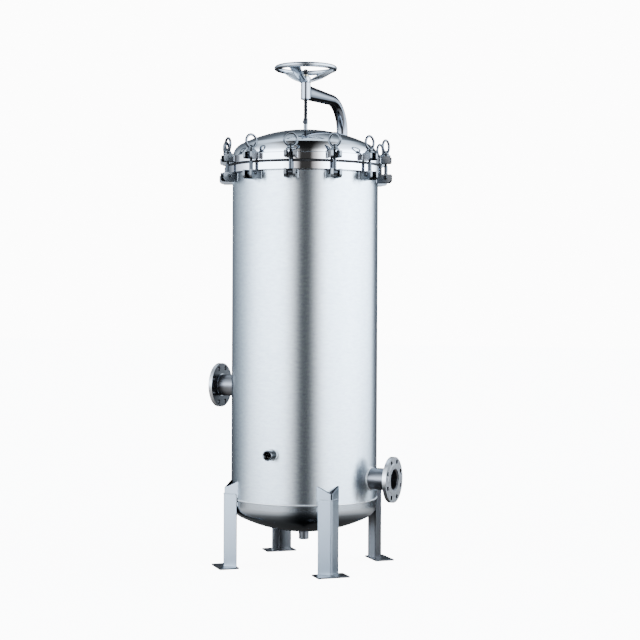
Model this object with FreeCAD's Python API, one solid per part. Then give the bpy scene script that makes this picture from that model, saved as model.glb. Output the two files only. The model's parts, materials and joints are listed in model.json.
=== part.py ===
import FreeCAD, Part
import math
import os

# Stainless multi-cartridge filter housing, in millimetres.
# The origin is on the vessel's axis at floor level, +Z is up.
# The outlet nozzle points along +X, the inlet nozzle along -X, the side drain along -Y,
# and the davit that lifts the lid stands behind the vessel on +Y.

# Pressure vessel
SHELL_OD = 600.0
SHELL_WALL = 4.0
SEAM_Z = 275.0
SHELL_TOP_Z = 1598.0
HEAD_SKIRT = 24.0
KNUCKLE_SHARE = 0.1

# Body flange, gasket and lid ring
RING_REACH = 16.0
BODY_FLANGE_H = 30.0
GASKET_GAP = 9.0
GASKET_W = 12.0
GASKET_SEAT = 3.0
GASKET_INSET = 10.0
LID_RING_H = 29.0
LID_SKIRT = 2.5

# Swing bolts, their lugs, pins and eye nuts
CLAMP_COUNT = 12
CLAMP_FIRST_DEG = 15.0
CLAMP_REACH = 18.0
LUG_T = 10.0
LUG_GAP = 27.0
LUG_REACH = 24.0
LUG_DROP = 21.0
LUG_CORNER_R = 14.0
PIVOT_DROP = 14.0
PIN_D = 12.0
PIN_HEAD_D = 17.0
PIN_HEAD_H = 4.0
PIN_TAIL = 5.0
UPPER_LUG_REACH = 22.0
UPPER_LUG_LIFT = 5.0
UPPER_LUG_RISE = 5.5
UPPER_LUG_CORNER_R = 8.0
BOLT_EYE_D = 28.0
BOLT_EYE_W = 18.0
BOLT_SHANK_D = 16.0
BOLT_SHANK_RISE = 6.0
BOLT_THREAD_D = 12.0
BOLT_ENGAGED = 8.0
NUT_FOOT_D = 40.0
NUT_FOOT_H = 4.0
NUT_HUB_D = 26.0
NUT_RING_D = 62.0
NUT_WIRE_D = 9.5
NUT_RING_RISE = 40.5
# Each ring stops where it is tight, so every eye nut faces its own way
NUT_TURNS_DEG = [68, 40, 20, 130, 75, 150, 80, 96, 172, 112, 36, 90]

# Nozzles with their slip-on flanges
NOZZLE_OD = 89.1
NOZZLE_WALL = 4.0
OUTLET_Z = 363.0
INLET_Z = 724.0
NOZZLE_REACH = 102.0
FLANGE_OD = 185.0
FLANGE_T = 18.0
FLANGE_PCD = 150.0
FLANGE_HOLES = 8
FLANGE_HOLE_D = 19.0
RAISED_FACE_D = 126.0
RAISED_FACE_H = 2.0
PIPE_SETBACK = 6.0

# Threaded drain sockets
SOCKET_OD = 42.0
SOCKET_BORE_D = 30.3
SOCKET_LENGTH = 43.0
SIDE_DRAIN_Z = 472.0
BOTTOM_DRAIN_DROP = 36.0
SOCKET_CHAMFER = 2.0
DRAIN_HOLE_SPARE = 1.0

# Angle legs and foot plates
LEG_COUNT = 4
LEG_FIRST_DEG = 43.5
LEG_FLANGE = 62.0
LEG_T = 6.0
LEG_BEND_R = 8.0
LEG_REACH = 46.0
LEG_TOP_RISE = 24.0
LEG_TOP_CORNER_R = 10.0
LEG_PAD_FLANGE = 70.0
LEG_PAD_T = 5.0
LEG_PAD_STEP = 2.0
PAD_DROP = 24.0
PAD_EDGE_RISE = 77.0
PAD_APEX_RISE = 44.0
RELIEF_R = 10.0
FOOT_T = 6.0
FOOT_ACROSS = 130.0
FOOT_DEEP = 80.0
FOOT_INSET = 11.0
ANCHOR_HOLE_D = 14.0
ANCHOR_REACH = 13.0

# Davit and lifting gear
DAVIT_TUBE_D = 48.3
DAVIT_TUBE_WALL = 3.2
DAVIT_POST_REACH = 77.0
DAVIT_ARM_RISE = 156.0
DAVIT_BEND_R = 128.0
DAVIT_POST_DEPTH = 191.0
DAVIT_STRAIGHT = 14.0
DAVIT_FLARE_RISE = 8.0
DAVIT_FLARE_DROP = 7.0
DAVIT_SOCKET_H = 150.0
DAVIT_SOCKET_WALL = 5.0
DAVIT_PLATE_W = 60.0
DAVIT_PLATE_T = 8.0
SLEEVE_OD = 41.0
SLEEVE_BORE = 17.0
SLEEVE_DROP = 31.0
SLEEVE_RISE = 40.0
SPINDLE_D = 16.0
SPINDLE_PAST_SLEEVE = 40.0
CLEVIS_RISE = 14.0
CLEVIS_DROP = 8.0
CLEVIS_D = 19.0
LUG_TONGUE_T = 6.0
LUG_BOSS_D = 17.0
LIFT_TRAVEL = 16.0
LIFT_PIN_RISE = 33.5
LIFT_PIN_D = 7.0
CAP_D = 20.0

# Handwheel
WHEEL_OD = 260.0
WHEEL_RIM_D = 21.0
WHEEL_RIM_RISE = 58.0
WHEEL_HUB_D = 41.0
WHEEL_HUB_H = 24.0
WHEEL_SHEET = 8.0
SPOKE_COUNT = 3
SPOKE_FIRST_DEG = 32.0
SPOKE_HUB_W = 34.0
SPOKE_WAIST_W = 32.0
SPOKE_RIM_W = 54.0
LIFT_NUT_D = 28.0
LIFT_NUT_H = 32.0

# Cartridges and what holds them
SHEET_OVER_SEAM = 160.0
SHEET_T = 15.0
CARTRIDGE_D = 63.5
CARTRIDGE_L = 1016.0
CARTRIDGE_PITCH = 110.0
SPIGOT_D = 44.0
SPIGOT_L = 24.0
SPEAR_D = 20.0
SPEAR_L = 34.0
HOLD_DOWN_T = 6.0
HOLD_DOWN_EDGE = 13.0
TIE_ROD_D = 12.0
TIE_ROD_R = 162.0
TIE_ROD_NUT_D = 21.0
TIE_ROD_NUT_H = 10.0

# Clearances
RUN_FIT = 0.05
LOOSE_FIT = 0.3
CONTACT_GAP = 0.2

# Sizes that follow from the ones above
shell_r = SHELL_OD / 2
shell_ri = shell_r - SHELL_WALL
ring_r = shell_r + RING_REACH
body_flange_top_z = SHELL_TOP_Z + BODY_FLANGE_H
lid_ring_z = body_flange_top_z + GASKET_GAP
lid_ring_top_z = lid_ring_z + LID_RING_H
pivot_z = SHELL_TOP_Z - PIVOT_DROP
upper_lug_top_z = lid_ring_top_z + UPPER_LUG_RISE
bolt_shank_top_z = body_flange_top_z + BOLT_SHANK_RISE
davit_post_foot_z = SHELL_TOP_Z - DAVIT_POST_DEPTH
clamp_r = ring_r + CLAMP_REACH
clamp_angles = [CLAMP_FIRST_DEG + 360.0 / CLAMP_COUNT * k for k in range(CLAMP_COUNT)]
leg_apex_r = shell_r + LEG_REACH
foot_centre_r = leg_apex_r - FOOT_INSET
leg_angles = [LEG_FIRST_DEG + 360.0 / LEG_COUNT * k for k in range(LEG_COUNT)]
nozzle_r = NOZZLE_OD / 2
flange_face_r = shell_r + NOZZLE_REACH
nozzle_ri = nozzle_r - NOZZLE_WALL
socket_r = SOCKET_OD / 2
socket_ri = SOCKET_BORE_D / 2
davit_r = DAVIT_TUBE_D / 2
davit_post_y = shell_r + DAVIT_POST_REACH
davit_flare_y = davit_post_y - DAVIT_BEND_R - DAVIT_STRAIGHT
spindle_r = SPINDLE_D / 2

X = FreeCAD.Vector(1, 0, 0)
Y = FreeCAD.Vector(0, 1, 0)
Z = FreeCAD.Vector(0, 0, 1)
ORIGIN = FreeCAD.Vector(0, 0, 0)


def point(x, y, z):
    return FreeCAD.Vector(x, y, z)


def disc(radius, z0, z1, x=0.0, y=0.0):
    return Part.makeCylinder(radius, z1 - z0, point(x, y, z0))


def tube(radius, bore, z0, z1, x=0.0, y=0.0):
    return disc(radius, z0, z1, x, y).cut(disc(bore, z0, z1, x, y))


def rod(radius, start, end):
    """A round bar between two points."""
    along = end.sub(start)
    return Part.makeCylinder(radius, along.Length, start, along)


def turned(shape, degrees):
    """A copy of the shape, turned about the vessel's axis."""
    copy = shape.copy()
    copy.rotate(ORIGIN, Z, degrees)
    return copy


def line(a, b):
    return Part.LineSegment(a, b).toShape()


def arc(a, middle, b):
    return Part.Arc(a, middle, b).toShape()


def outline_face(corners):
    """A flat face inside straight edges."""
    return Part.Face(Part.makePolygon(corners + [corners[0]]))


def spun(profile):
    """A solid of revolution about Z from (radius, z) corners."""
    return outline_face([point(r, 0, z) for r, z in profile]).revolve(ORIGIN, Z, 360)


def save(node, solids):
    """Writes one node's solids as one STEP file."""
    shape = solids[0] if len(solids) == 1 else Part.makeCompound(solids)
    shape.exportStep("parts/" + node + ".step")


def head_centres(radius):
    """Crown radius, knuckle radius, knuckle centre's radius and the crown centre's depth below the tangent line."""
    crown = 2 * radius
    knuckle = 2 * radius * KNUCKLE_SHARE
    knuckle_at = radius - knuckle
    depth = math.sqrt((crown - knuckle) ** 2 - knuckle_at ** 2)
    return crown, knuckle, knuckle_at, depth


def head_height(radius):
    """Height of a torispherical head over its tangent line."""
    crown, knuckle, knuckle_at, depth = head_centres(radius)
    return crown - depth


def head_curve(radius, offset):
    """The crown arc and the knuckle arc of a head in the XZ plane, moved inwards by offset, tangent line at z 0."""
    crown, knuckle, knuckle_at, depth = head_centres(radius)
    crown -= offset
    knuckle -= offset
    lean = math.atan2(knuckle_at, depth)
    pole = point(0, 0, crown - depth)
    half = point(crown * math.sin(lean / 2), 0, crown * math.cos(lean / 2) - depth)
    join = point(crown * math.sin(lean), 0, crown * math.cos(lean) - depth)
    turn = math.pi / 2 - lean
    bend = point(knuckle_at + knuckle * math.cos(turn / 2), 0, knuckle * math.sin(turn / 2))
    edge = point(knuckle_at + knuckle, 0, 0)
    return arc(pole, half, join), arc(join, bend, edge), pole, edge


def dished_head(radius, wall, skirt):
    """A torispherical head, crown up, with its tangent line at z 0 and a straight skirt below it."""
    crown_out, knuckle_out, pole_out, edge_out = head_curve(radius, 0)
    crown_in, knuckle_in, pole_in, edge_in = head_curve(radius, wall)
    foot_out = point(radius, 0, -skirt)
    foot_in = point(radius - wall, 0, -skirt)
    edges = [crown_out, knuckle_out, line(edge_out, foot_out), line(foot_out, foot_in)]
    edges += [line(foot_in, edge_in), knuckle_in, crown_in, line(pole_in, pole_out)]
    wire = Part.Wire(Part.__sortEdges__(edges))
    return Part.Face(wire).revolve(ORIGIN, Z, 360)


def full_head(radius, skirt):
    """The space inside a head's outer surface, used to fit other pieces to it."""
    crown_out, knuckle_out, pole_out, edge_out = head_curve(radius, 0)
    foot_out = point(radius, 0, -skirt)
    foot_axis = point(0, 0, -skirt)
    edges = [crown_out, knuckle_out, line(edge_out, foot_out), line(foot_out, foot_axis)]
    edges += [line(foot_axis, pole_out)]
    return Part.Face(Part.Wire(Part.__sortEdges__(edges))).revolve(ORIGIN, Z, 360)


def bottom_up(shape, z):
    """Turns a head crown down and sets its tangent line at height z."""
    copy = shape.copy()
    copy.rotate(ORIGIN, X, 180)
    copy.translate(point(0, 0, z))
    return copy


bottom_tangent_z = SEAM_Z - HEAD_SKIRT
bottom_pole_z = bottom_tangent_z - head_height(shell_r)
lid_tangent_z = lid_ring_top_z + LID_SKIRT
lid_pole_z = lid_tangent_z + head_height(shell_r)
bottom_drain_z = bottom_pole_z - BOTTOM_DRAIN_DROP
sheet_top_z = SEAM_Z + SHEET_OVER_SEAM
lift_pin_z = lid_pole_z + LIFT_PIN_RISE
clevis_bottom_z = lift_pin_z - CLEVIS_DROP
clevis_top_z = lift_pin_z + CLEVIS_RISE
davit_arm_z = lid_pole_z + DAVIT_ARM_RISE
sleeve_bottom_z = davit_arm_z - SLEEVE_DROP
sleeve_top_z = davit_arm_z + SLEEVE_RISE
spindle_top_z = sleeve_top_z + SPINDLE_PAST_SLEEVE
wheel_rim_z = sleeve_top_z + WHEEL_RIM_RISE


def vessel_envelope():
    """Everything inside the outer surface of the shell and the bottom head."""
    barrel = disc(shell_r, SEAM_Z, SHELL_TOP_Z)
    return barrel.fuse(bottom_up(full_head(shell_r, HEAD_SKIRT), bottom_tangent_z))


def shell_barrel():
    """Rolled shell with the openings of the two nozzles and the side drain."""
    barrel = tube(shell_r, shell_ri, SEAM_Z, SHELL_TOP_Z)
    outlet_hole = rod(nozzle_ri, point(shell_ri / 2, 0, OUTLET_Z), point(ring_r, 0, OUTLET_Z))
    inlet_hole = rod(nozzle_ri, point(-shell_ri / 2, 0, INLET_Z), point(-ring_r, 0, INLET_Z))
    drain_r = socket_ri + DRAIN_HOLE_SPARE
    drain_hole = rod(drain_r, point(0, -shell_ri / 2, SIDE_DRAIN_Z), point(0, -ring_r, SIDE_DRAIN_Z))
    return barrel.cut(outlet_hole).cut(inlet_hole).cut(drain_hole)


def bottom_head():
    head = bottom_up(dished_head(shell_r, SHELL_WALL, HEAD_SKIRT), bottom_tangent_z)
    return head.cut(disc(socket_ri + DRAIN_HOLE_SPARE, bottom_drain_z, bottom_tangent_z))


def gasket_solid(z0, z1, spare):
    """The gasket's ring between two heights, made wider by spare on each side."""
    middle = ring_r - GASKET_INSET
    half = GASKET_W / 2 + spare
    return tube(middle + half, middle - half, z0, z1)


def body_flange():
    ring = tube(ring_r, shell_ri, SHELL_TOP_Z, body_flange_top_z)
    groove = gasket_solid(body_flange_top_z - GASKET_SEAT, body_flange_top_z, LOOSE_FIT)
    return ring.cut(groove)


def lower_lug_plate():
    """One cheek of a hinge lug, flat in the XZ plane, with its lower outer corner rounded."""
    half_t = LUG_T / 2
    inner = shell_r - LUG_REACH
    outer = clamp_r + LUG_REACH
    bottom = pivot_z - LUG_DROP
    corner = LUG_CORNER_R * (1 - math.sqrt(0.5))
    a = point(inner, -half_t, SHELL_TOP_Z)
    b = point(outer, -half_t, SHELL_TOP_Z)
    c = point(outer, -half_t, bottom + LUG_CORNER_R)
    middle = point(outer - corner, -half_t, bottom + corner)
    d = point(outer - LUG_CORNER_R, -half_t, bottom)
    e = point(inner, -half_t, bottom)
    wire = Part.Wire([line(a, b), line(b, c), arc(c, middle, d), line(d, e), line(e, a)])
    plate = Part.Face(wire).extrude(point(0, LUG_T, 0))
    hole = rod(PIN_D / 2, point(clamp_r, -LUG_T, pivot_z), point(clamp_r, LUG_T, pivot_z))
    return plate.cut(hole).cut(disc(shell_r, bottom, SHELL_TOP_Z))


def upper_lug_plate():
    """One cheek of a lid lug. Its top is an arc about the pivot, so that an eye nut swings clear of it."""
    half_t = LUG_T / 2
    crown = upper_lug_top_z - CONTACT_GAP - pivot_z
    inner = shell_r
    outer = clamp_r + UPPER_LUG_REACH
    bottom = lid_ring_z + UPPER_LUG_LIFT
    top_in = pivot_z + math.sqrt(crown ** 2 - (inner - clamp_r) ** 2)
    top_out = pivot_z + math.sqrt(crown ** 2 - UPPER_LUG_REACH ** 2)
    a = point(inner, -half_t, top_in)
    middle = point(clamp_r, -half_t, pivot_z + crown)
    b = point(outer, -half_t, top_out)
    corner = UPPER_LUG_CORNER_R * (1 - math.sqrt(0.5))
    c = point(outer, -half_t, bottom + UPPER_LUG_CORNER_R)
    turn = point(outer - corner, -half_t, bottom + corner)
    d = point(outer - UPPER_LUG_CORNER_R, -half_t, bottom)
    e = point(inner, -half_t, bottom)
    wire = Part.Wire([arc(a, middle, b), line(b, c), arc(c, turn, d), line(d, e), line(e, a)])
    plate = Part.Face(wire).extrude(point(0, LUG_T, 0))
    return plate.cut(disc(ring_r, lid_ring_z, upper_lug_top_z))


def lug_pairs(plate):
    """Two cheeks at every clamp station."""
    offset = LUG_GAP / 2 + LUG_T / 2
    solids = []
    for angle in clamp_angles:
        for side in (-offset, offset):
            cheek = plate.copy()
            cheek.translate(point(0, side, 0))
            solids.append(turned(cheek, angle))
    return solids


def fitted_lug_pairs(plate_maker, core_r, z0, z1):
    """Lug cheeks whose root follows the round surface that they are welded to."""
    core = disc(core_r, z0, z1)
    return [cheek.cut(core) for cheek in lug_pairs(plate_maker())]


def pivot_pin():
    """Headed pin through one hinge lug, along the tangent."""
    half = LUG_GAP / 2 + LUG_T
    shank = rod(PIN_D / 2, point(clamp_r, -half, pivot_z), point(clamp_r, half + PIN_TAIL, pivot_z))
    head = rod(PIN_HEAD_D / 2, point(clamp_r, -half - PIN_HEAD_H, pivot_z), point(clamp_r, -half, pivot_z))
    return shank.fuse(head).removeSplitter()


def swing_bolt():
    """Eye bolt that stands on its pivot pin, with the thread's diameter above the shank."""
    eye = rod(BOLT_EYE_D / 2, point(clamp_r, -BOLT_EYE_W / 2, pivot_z), point(clamp_r, BOLT_EYE_W / 2, pivot_z))
    shank = disc(BOLT_SHANK_D / 2, pivot_z, bolt_shank_top_z, clamp_r)
    tip_z = upper_lug_top_z + LIFT_TRAVEL + BOLT_ENGAGED
    thread = disc(BOLT_THREAD_D / 2, bolt_shank_top_z, tip_z, clamp_r)
    bolt = eye.fuse(shank).fuse(thread)
    span = BOLT_EYE_W
    hole_r = PIN_D / 2 + RUN_FIT
    return bolt.cut(rod(hole_r, point(clamp_r, -span, pivot_z), point(clamp_r, span, pivot_z)))


def eye_nut(turn):
    """Ring nut on a swing bolt, its ring turned by some degrees about the bolt."""
    foot_z = upper_lug_top_z
    ring_z = foot_z + NUT_RING_RISE
    wire_r = NUT_WIRE_D / 2
    ring_mid_r = NUT_RING_D / 2 - wire_r
    hub_top = ring_z - ring_mid_r + wire_r / 2
    hub = spun([(0, foot_z), (NUT_FOOT_D / 2, foot_z), (NUT_FOOT_D / 2, foot_z + NUT_FOOT_H),
                (NUT_HUB_D / 2, foot_z + 2 * NUT_FOOT_H), (NUT_HUB_D / 2, hub_top), (0, hub_top)])
    flat = wire_r * math.tan(math.pi / 8)
    section = [(wire_r, flat), (flat, wire_r), (-flat, wire_r), (-wire_r, flat)]
    section += [(-wire_r, -flat), (-flat, -wire_r), (flat, -wire_r), (wire_r, -flat)]
    corners = [point(ring_mid_r + out, side, ring_z) for out, side in section]
    ring = outline_face(corners).revolve(point(0, 0, ring_z), Y, 360)
    nut = hub.fuse(ring).cut(disc(BOLT_THREAD_D / 2 + RUN_FIT, foot_z, ring_z))
    nut.rotate(ORIGIN, Z, turn)
    nut.translate(point(clamp_r, 0, 0))
    return nut


def nozzle_pipe(z, heading):
    """Pipe from the shell's surface into the bore of its flange, along +X or -X."""
    start = point(heading * shell_ri / 2, 0, z)
    end = point(heading * (flange_face_r - PIPE_SETBACK), 0, z)
    pipe = rod(nozzle_r, start, end).cut(rod(nozzle_ri, start, end))
    return pipe.cut(disc(shell_r, z - nozzle_r, z + nozzle_r))


def nozzle_flange(z, heading):
    """Slip-on flange with a raised face and holes that straddle the upright centre line."""
    back = point(heading * (flange_face_r - FLANGE_T), 0, z)
    step = point(heading * (flange_face_r - RAISED_FACE_H), 0, z)
    face = point(heading * flange_face_r, 0, z)
    flange = rod(FLANGE_OD / 2, back, step).fuse(rod(RAISED_FACE_D / 2, back, face))
    flange = flange.cut(rod(nozzle_r, back, face))
    for k in range(FLANGE_HOLES):
        spin = math.radians((k + 0.5) * 360.0 / FLANGE_HOLES)
        y = FLANGE_PCD / 2 * math.cos(spin)
        up = z + FLANGE_PCD / 2 * math.sin(spin)
        flange = flange.cut(rod(FLANGE_HOLE_D / 2, point(back.x, y, up), point(face.x, y, up)))
    return flange


def socket_profile(length):
    """A drain socket about Z with its mouth at z 0 and a chamfered mouth."""
    mouth_ri = socket_ri + SOCKET_CHAMFER
    return spun([(mouth_ri, 0), (socket_r - SOCKET_CHAMFER, 0), (socket_r, SOCKET_CHAMFER),
                 (socket_r, length), (socket_ri, length), (socket_ri, SOCKET_CHAMFER)])


def side_drain_socket():
    socket = socket_profile(2 * SOCKET_LENGTH)
    socket.rotate(ORIGIN, X, -90)
    socket.translate(point(0, -shell_r - SOCKET_LENGTH, SIDE_DRAIN_Z))
    return socket.cut(disc(shell_r, SIDE_DRAIN_Z - socket_r, SIDE_DRAIN_Z + socket_r))


def bottom_drain_socket():
    socket = socket_profile(2 * BOTTOM_DRAIN_DROP)
    socket.translate(point(0, 0, bottom_drain_z))
    return socket.cut(vessel_envelope())


def angle_bar(flange, wall, z0, z1, inset):
    """A bent angle, its rounded corner outwards near X = 0 and its flanges at 45 degrees, set inwards by inset."""
    root = math.sqrt(0.5)
    u = point(-root, root, 0)
    v = point(-root, -root, 0)
    base = point(-inset / root, 0, z0)
    centre = base + (u + v) * LEG_BEND_R
    outer = [base + u * flange, base + u * LEG_BEND_R, centre + X * LEG_BEND_R, base + v * LEG_BEND_R,
             base + v * flange]
    inner = [base + v * flange + u * wall, base + v * LEG_BEND_R + u * wall, centre + X * (LEG_BEND_R - wall),
             base + u * LEG_BEND_R + v * wall, base + u * flange + v * wall]
    edges = [line(outer[0], outer[1]), arc(outer[1], outer[2], outer[3]), line(outer[3], outer[4])]
    edges += [line(outer[4], inner[0]), line(inner[0], inner[1]), arc(inner[1], inner[2], inner[3])]
    edges += [line(inner[3], inner[4]), line(inner[4], outer[0])]
    return Part.Face(Part.Wire(edges)).extrude(point(0, 0, z1 - z0))


def both_flanges(cutter):
    """A cutter made for a flange that lies along -X, turned onto both flanges of a leg."""
    cutters = []
    for side in (-1, 1):
        copy = cutter.copy()
        copy.rotate(ORIGIN, Z, side * 45)
        cutters.append(copy)
    return Part.makeCompound(cutters)


def leg():
    """Angle leg with its corner outwards at polar angle 0, lapped over a wider pad that is mitred on top."""
    top = SEAM_Z + LEG_TOP_RISE
    bar = angle_bar(LEG_FLANGE, LEG_T, FOOT_T, top, 0)
    low = top - LEG_TOP_CORNER_R
    start = LEG_TOP_CORNER_R - LEG_FLANGE
    corner = Part.makeBox(LEG_TOP_CORNER_R, 4 * LEG_T, LEG_TOP_CORNER_R, point(-LEG_FLANGE, -2 * LEG_T, low))
    corner = corner.cut(rod(LEG_TOP_CORNER_R, point(start, -2 * LEG_T, low), point(start, 2 * LEG_T, low)))
    bar = bar.cut(both_flanges(corner))
    edge_z = SEAM_Z + PAD_EDGE_RISE
    pad = angle_bar(LEG_PAD_FLANGE, LEG_PAD_T, SEAM_Z - PAD_DROP, edge_z, LEG_PAD_STEP)
    back = -(LEG_PAD_STEP / math.sqrt(0.5) + LEG_PAD_FLANGE * math.sqrt(0.5))
    front_z = SEAM_Z + PAD_APEX_RISE
    mitre = outline_face([point(0, -SHELL_OD, front_z), point(back, -SHELL_OD, edge_z),
                          point(back, -SHELL_OD, 2 * edge_z), point(0, -SHELL_OD, 2 * edge_z)])
    pad = pad.cut(mitre.extrude(point(0, 2 * SHELL_OD, 0)))
    angle = bar.fuse(pad)
    relief = rod(RELIEF_R, point(-LEG_PAD_FLANGE, -3 * LEG_T, SEAM_Z), point(-LEG_PAD_FLANGE, 3 * LEG_T, SEAM_Z))
    angle = angle.cut(both_flanges(relief)).removeSplitter()
    angle.translate(point(leg_apex_r, 0, 0))
    return angle.cut(vessel_envelope())


def foot_plate():
    plate = Part.makeBox(FOOT_DEEP, FOOT_ACROSS, FOOT_T,
                         point(foot_centre_r - FOOT_DEEP / 2, -FOOT_ACROSS / 2, 0))
    return plate.cut(disc(ANCHOR_HOLE_D / 2, 0, FOOT_T, leg_apex_r + ANCHOR_REACH))


def annulus(outer, inner, centre, normal):
    rim = Part.Face(Part.Wire(Part.makeCircle(outer, centre, normal)))
    return rim.cut(Part.Face(Part.Wire(Part.makeCircle(inner, centre, normal))))


def davit_arm():
    """Bent pipe: upright post, quarter bend and an arm that deepens towards the spindle sleeve."""
    bore = davit_r - DAVIT_TUBE_WALL
    bend_z = davit_arm_z - DAVIT_BEND_R
    bend_y = davit_post_y - DAVIT_BEND_R
    post = tube(davit_r, bore, davit_post_foot_z, bend_z, 0, davit_post_y)
    ring = annulus(davit_r, bore, point(0, davit_post_y, bend_z), Z).Faces[0]
    bend = ring.revolve(point(0, bend_y, bend_z), X, 90)
    reach = rod(davit_r, point(0, davit_flare_y, davit_arm_z), point(0, bend_y, davit_arm_z))
    reach = reach.cut(rod(bore, point(0, davit_flare_y, davit_arm_z), point(0, bend_y, davit_arm_z)))
    flare = flare_solid(0).cut(flare_solid(DAVIT_TUBE_WALL))
    arm = post.fuse(bend).fuse(reach).fuse(flare)
    sleeve_space = disc(SLEEVE_OD / 2, sleeve_bottom_z - DAVIT_BEND_R, sleeve_top_z)
    return arm.cut(sleeve_space).removeSplitter()


def flare_solid(wall):
    """The arm's last stretch, lofted from the round pipe to a deeper oval at the sleeve."""
    start = Part.Wire(Part.makeCircle(davit_r - wall, point(0, davit_flare_y, davit_arm_z), Y))
    deep = davit_r + (DAVIT_FLARE_RISE + DAVIT_FLARE_DROP) / 2 - wall
    narrow = SLEEVE_OD / 2 - CONTACT_GAP - wall
    oval = Part.Ellipse(ORIGIN, deep, narrow).toShape()
    oval.rotate(ORIGIN, X, 90)
    oval.rotate(ORIGIN, Y, 90)
    oval.translate(point(0, 0, davit_arm_z + (DAVIT_FLARE_RISE - DAVIT_FLARE_DROP) / 2))
    return Part.makeLoft([start, Part.Wire(oval)], True)


def davit_socket():
    """Pipe socket behind the shell that carries the davit post, on two plates welded to the shell."""
    outer = davit_r + LOOSE_FIT + DAVIT_SOCKET_WALL
    foot = davit_post_foot_z - DAVIT_SOCKET_WALL
    top = davit_post_foot_z + DAVIT_SOCKET_H
    body = disc(outer, foot, top, 0, davit_post_y)
    for z in (foot + DAVIT_SOCKET_H / 5, top - DAVIT_SOCKET_H / 5):
        plate = Part.makeBox(DAVIT_PLATE_W, davit_post_y, DAVIT_PLATE_T, point(-DAVIT_PLATE_W / 2, 0, z))
        body = body.fuse(plate)
    body = body.cut(disc(davit_r + LOOSE_FIT, davit_post_foot_z, top, 0, davit_post_y))
    return body.cut(disc(shell_r, foot, top)).removeSplitter()


def spindle_sleeve():
    return tube(SLEEVE_OD / 2, SLEEVE_BORE / 2, sleeve_bottom_z, sleeve_top_z)


def lid_dome():
    head = dished_head(shell_r, SHELL_WALL, LID_SKIRT)
    head.translate(point(0, 0, lid_tangent_z))
    return head


def lifting_lug():
    """Boss on the lid's crown with a flat tongue for the lifting pin."""
    boss = disc(LUG_BOSS_D / 2, lid_pole_z - SHELL_WALL, clevis_bottom_z - LOOSE_FIT)
    tongue = Part.makeBox(LUG_BOSS_D, LUG_TONGUE_T, LUG_BOSS_D / 2 + LIFT_PIN_RISE,
                          point(-LUG_BOSS_D / 2, -LUG_TONGUE_T / 2, lid_pole_z))
    lug = boss.fuse(tongue.common(disc(LUG_BOSS_D / 2 - LOOSE_FIT, lid_pole_z, clevis_top_z)))
    pin_hole = rod(LIFT_PIN_D / 2, point(0, -CLEVIS_D, lift_pin_z), point(0, CLEVIS_D, lift_pin_z))
    crown = full_head(shell_r, LID_SKIRT)
    crown.translate(point(0, 0, lid_tangent_z))
    return lug.cut(pin_hole).cut(crown)


def spindle_clevis():
    """Fork at the spindle's lower end."""
    fork = disc(CLEVIS_D / 2, clevis_bottom_z, clevis_top_z)
    slot_top = lift_pin_z + LUG_BOSS_D / 2 + LOOSE_FIT
    slot = Part.makeBox(2 * CLEVIS_D, LUG_TONGUE_T + 2 * LOOSE_FIT, slot_top - clevis_bottom_z,
                        point(-CLEVIS_D, -LUG_TONGUE_T / 2 - LOOSE_FIT, clevis_bottom_z))
    pin_hole = rod(LIFT_PIN_D / 2, point(0, -CLEVIS_D, lift_pin_z), point(0, CLEVIS_D, lift_pin_z))
    return fork.cut(slot).cut(pin_hole)


def clevis_pin():
    end = CLEVIS_D / 2 + 2
    shank = rod(LIFT_PIN_D / 2, point(0, -end, lift_pin_z), point(0, end, lift_pin_z))
    head = rod(LIFT_PIN_D, point(0, -end - LIFT_PIN_D / 2, lift_pin_z), point(0, -end, lift_pin_z))
    return shank.fuse(head).removeSplitter()


def spindle():
    bar = disc(spindle_r, clevis_top_z, spindle_top_z)
    stud = disc(spindle_r / 2, spindle_top_z, spindle_top_z + spindle_r)
    return bar.fuse(stud).removeSplitter()


def spindle_cap():
    """Ball knob screwed on the spindle's end as a stop."""
    flat = spindle_r
    rise = math.sqrt((CAP_D / 2) ** 2 - flat ** 2)
    ball = Part.makeSphere(CAP_D / 2, point(0, 0, spindle_top_z + rise))
    ball = ball.cut(disc(CAP_D, spindle_top_z - CAP_D, spindle_top_z))
    return ball.cut(disc(spindle_r / 2 + RUN_FIT, spindle_top_z, spindle_top_z + spindle_r + LOOSE_FIT))


def wheel_dish():
    """Dished web of the handwheel, a curved band turned about the axis."""
    hub_r = WHEEL_HUB_D / 2
    rim_r = WHEEL_OD / 2 - WHEEL_RIM_D / 2
    low = point(hub_r - WHEEL_SHEET / 2, 0, sleeve_top_z)
    bend = point(hub_r + (rim_r - hub_r) * 0.3, 0, sleeve_top_z + (wheel_rim_z - sleeve_top_z) * 0.4)
    high = point(rim_r, 0, wheel_rim_z - WHEEL_SHEET)
    rise = point(0, 0, WHEEL_SHEET)
    edges = [arc(low, bend, high), line(high, high + rise)]
    edges += [arc(high + rise, bend + rise, low + rise), line(low + rise, low)]
    return Part.Face(Part.Wire(edges)).revolve(ORIGIN, Z, 360)


def spoke_outline():
    """Plan of one spoke along +X, waisted between hub and rim."""
    inner = WHEEL_HUB_D / 4
    outer = WHEEL_OD / 2 - WHEEL_RIM_D / 2
    waist = inner + (outer - inner) * 0.45
    z = sleeve_top_z
    a = point(inner, -SPOKE_HUB_W / 2, z)
    b = point(outer, -SPOKE_RIM_W / 2, z)
    c = point(outer, SPOKE_RIM_W / 2, z)
    d = point(inner, SPOKE_HUB_W / 2, z)
    lower = arc(a, point(waist, -SPOKE_WAIST_W / 2, z), b)
    upper = arc(c, point(waist, SPOKE_WAIST_W / 2, z), d)
    return Part.Face(Part.Wire([lower, line(b, c), upper, line(d, a)]))


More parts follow.
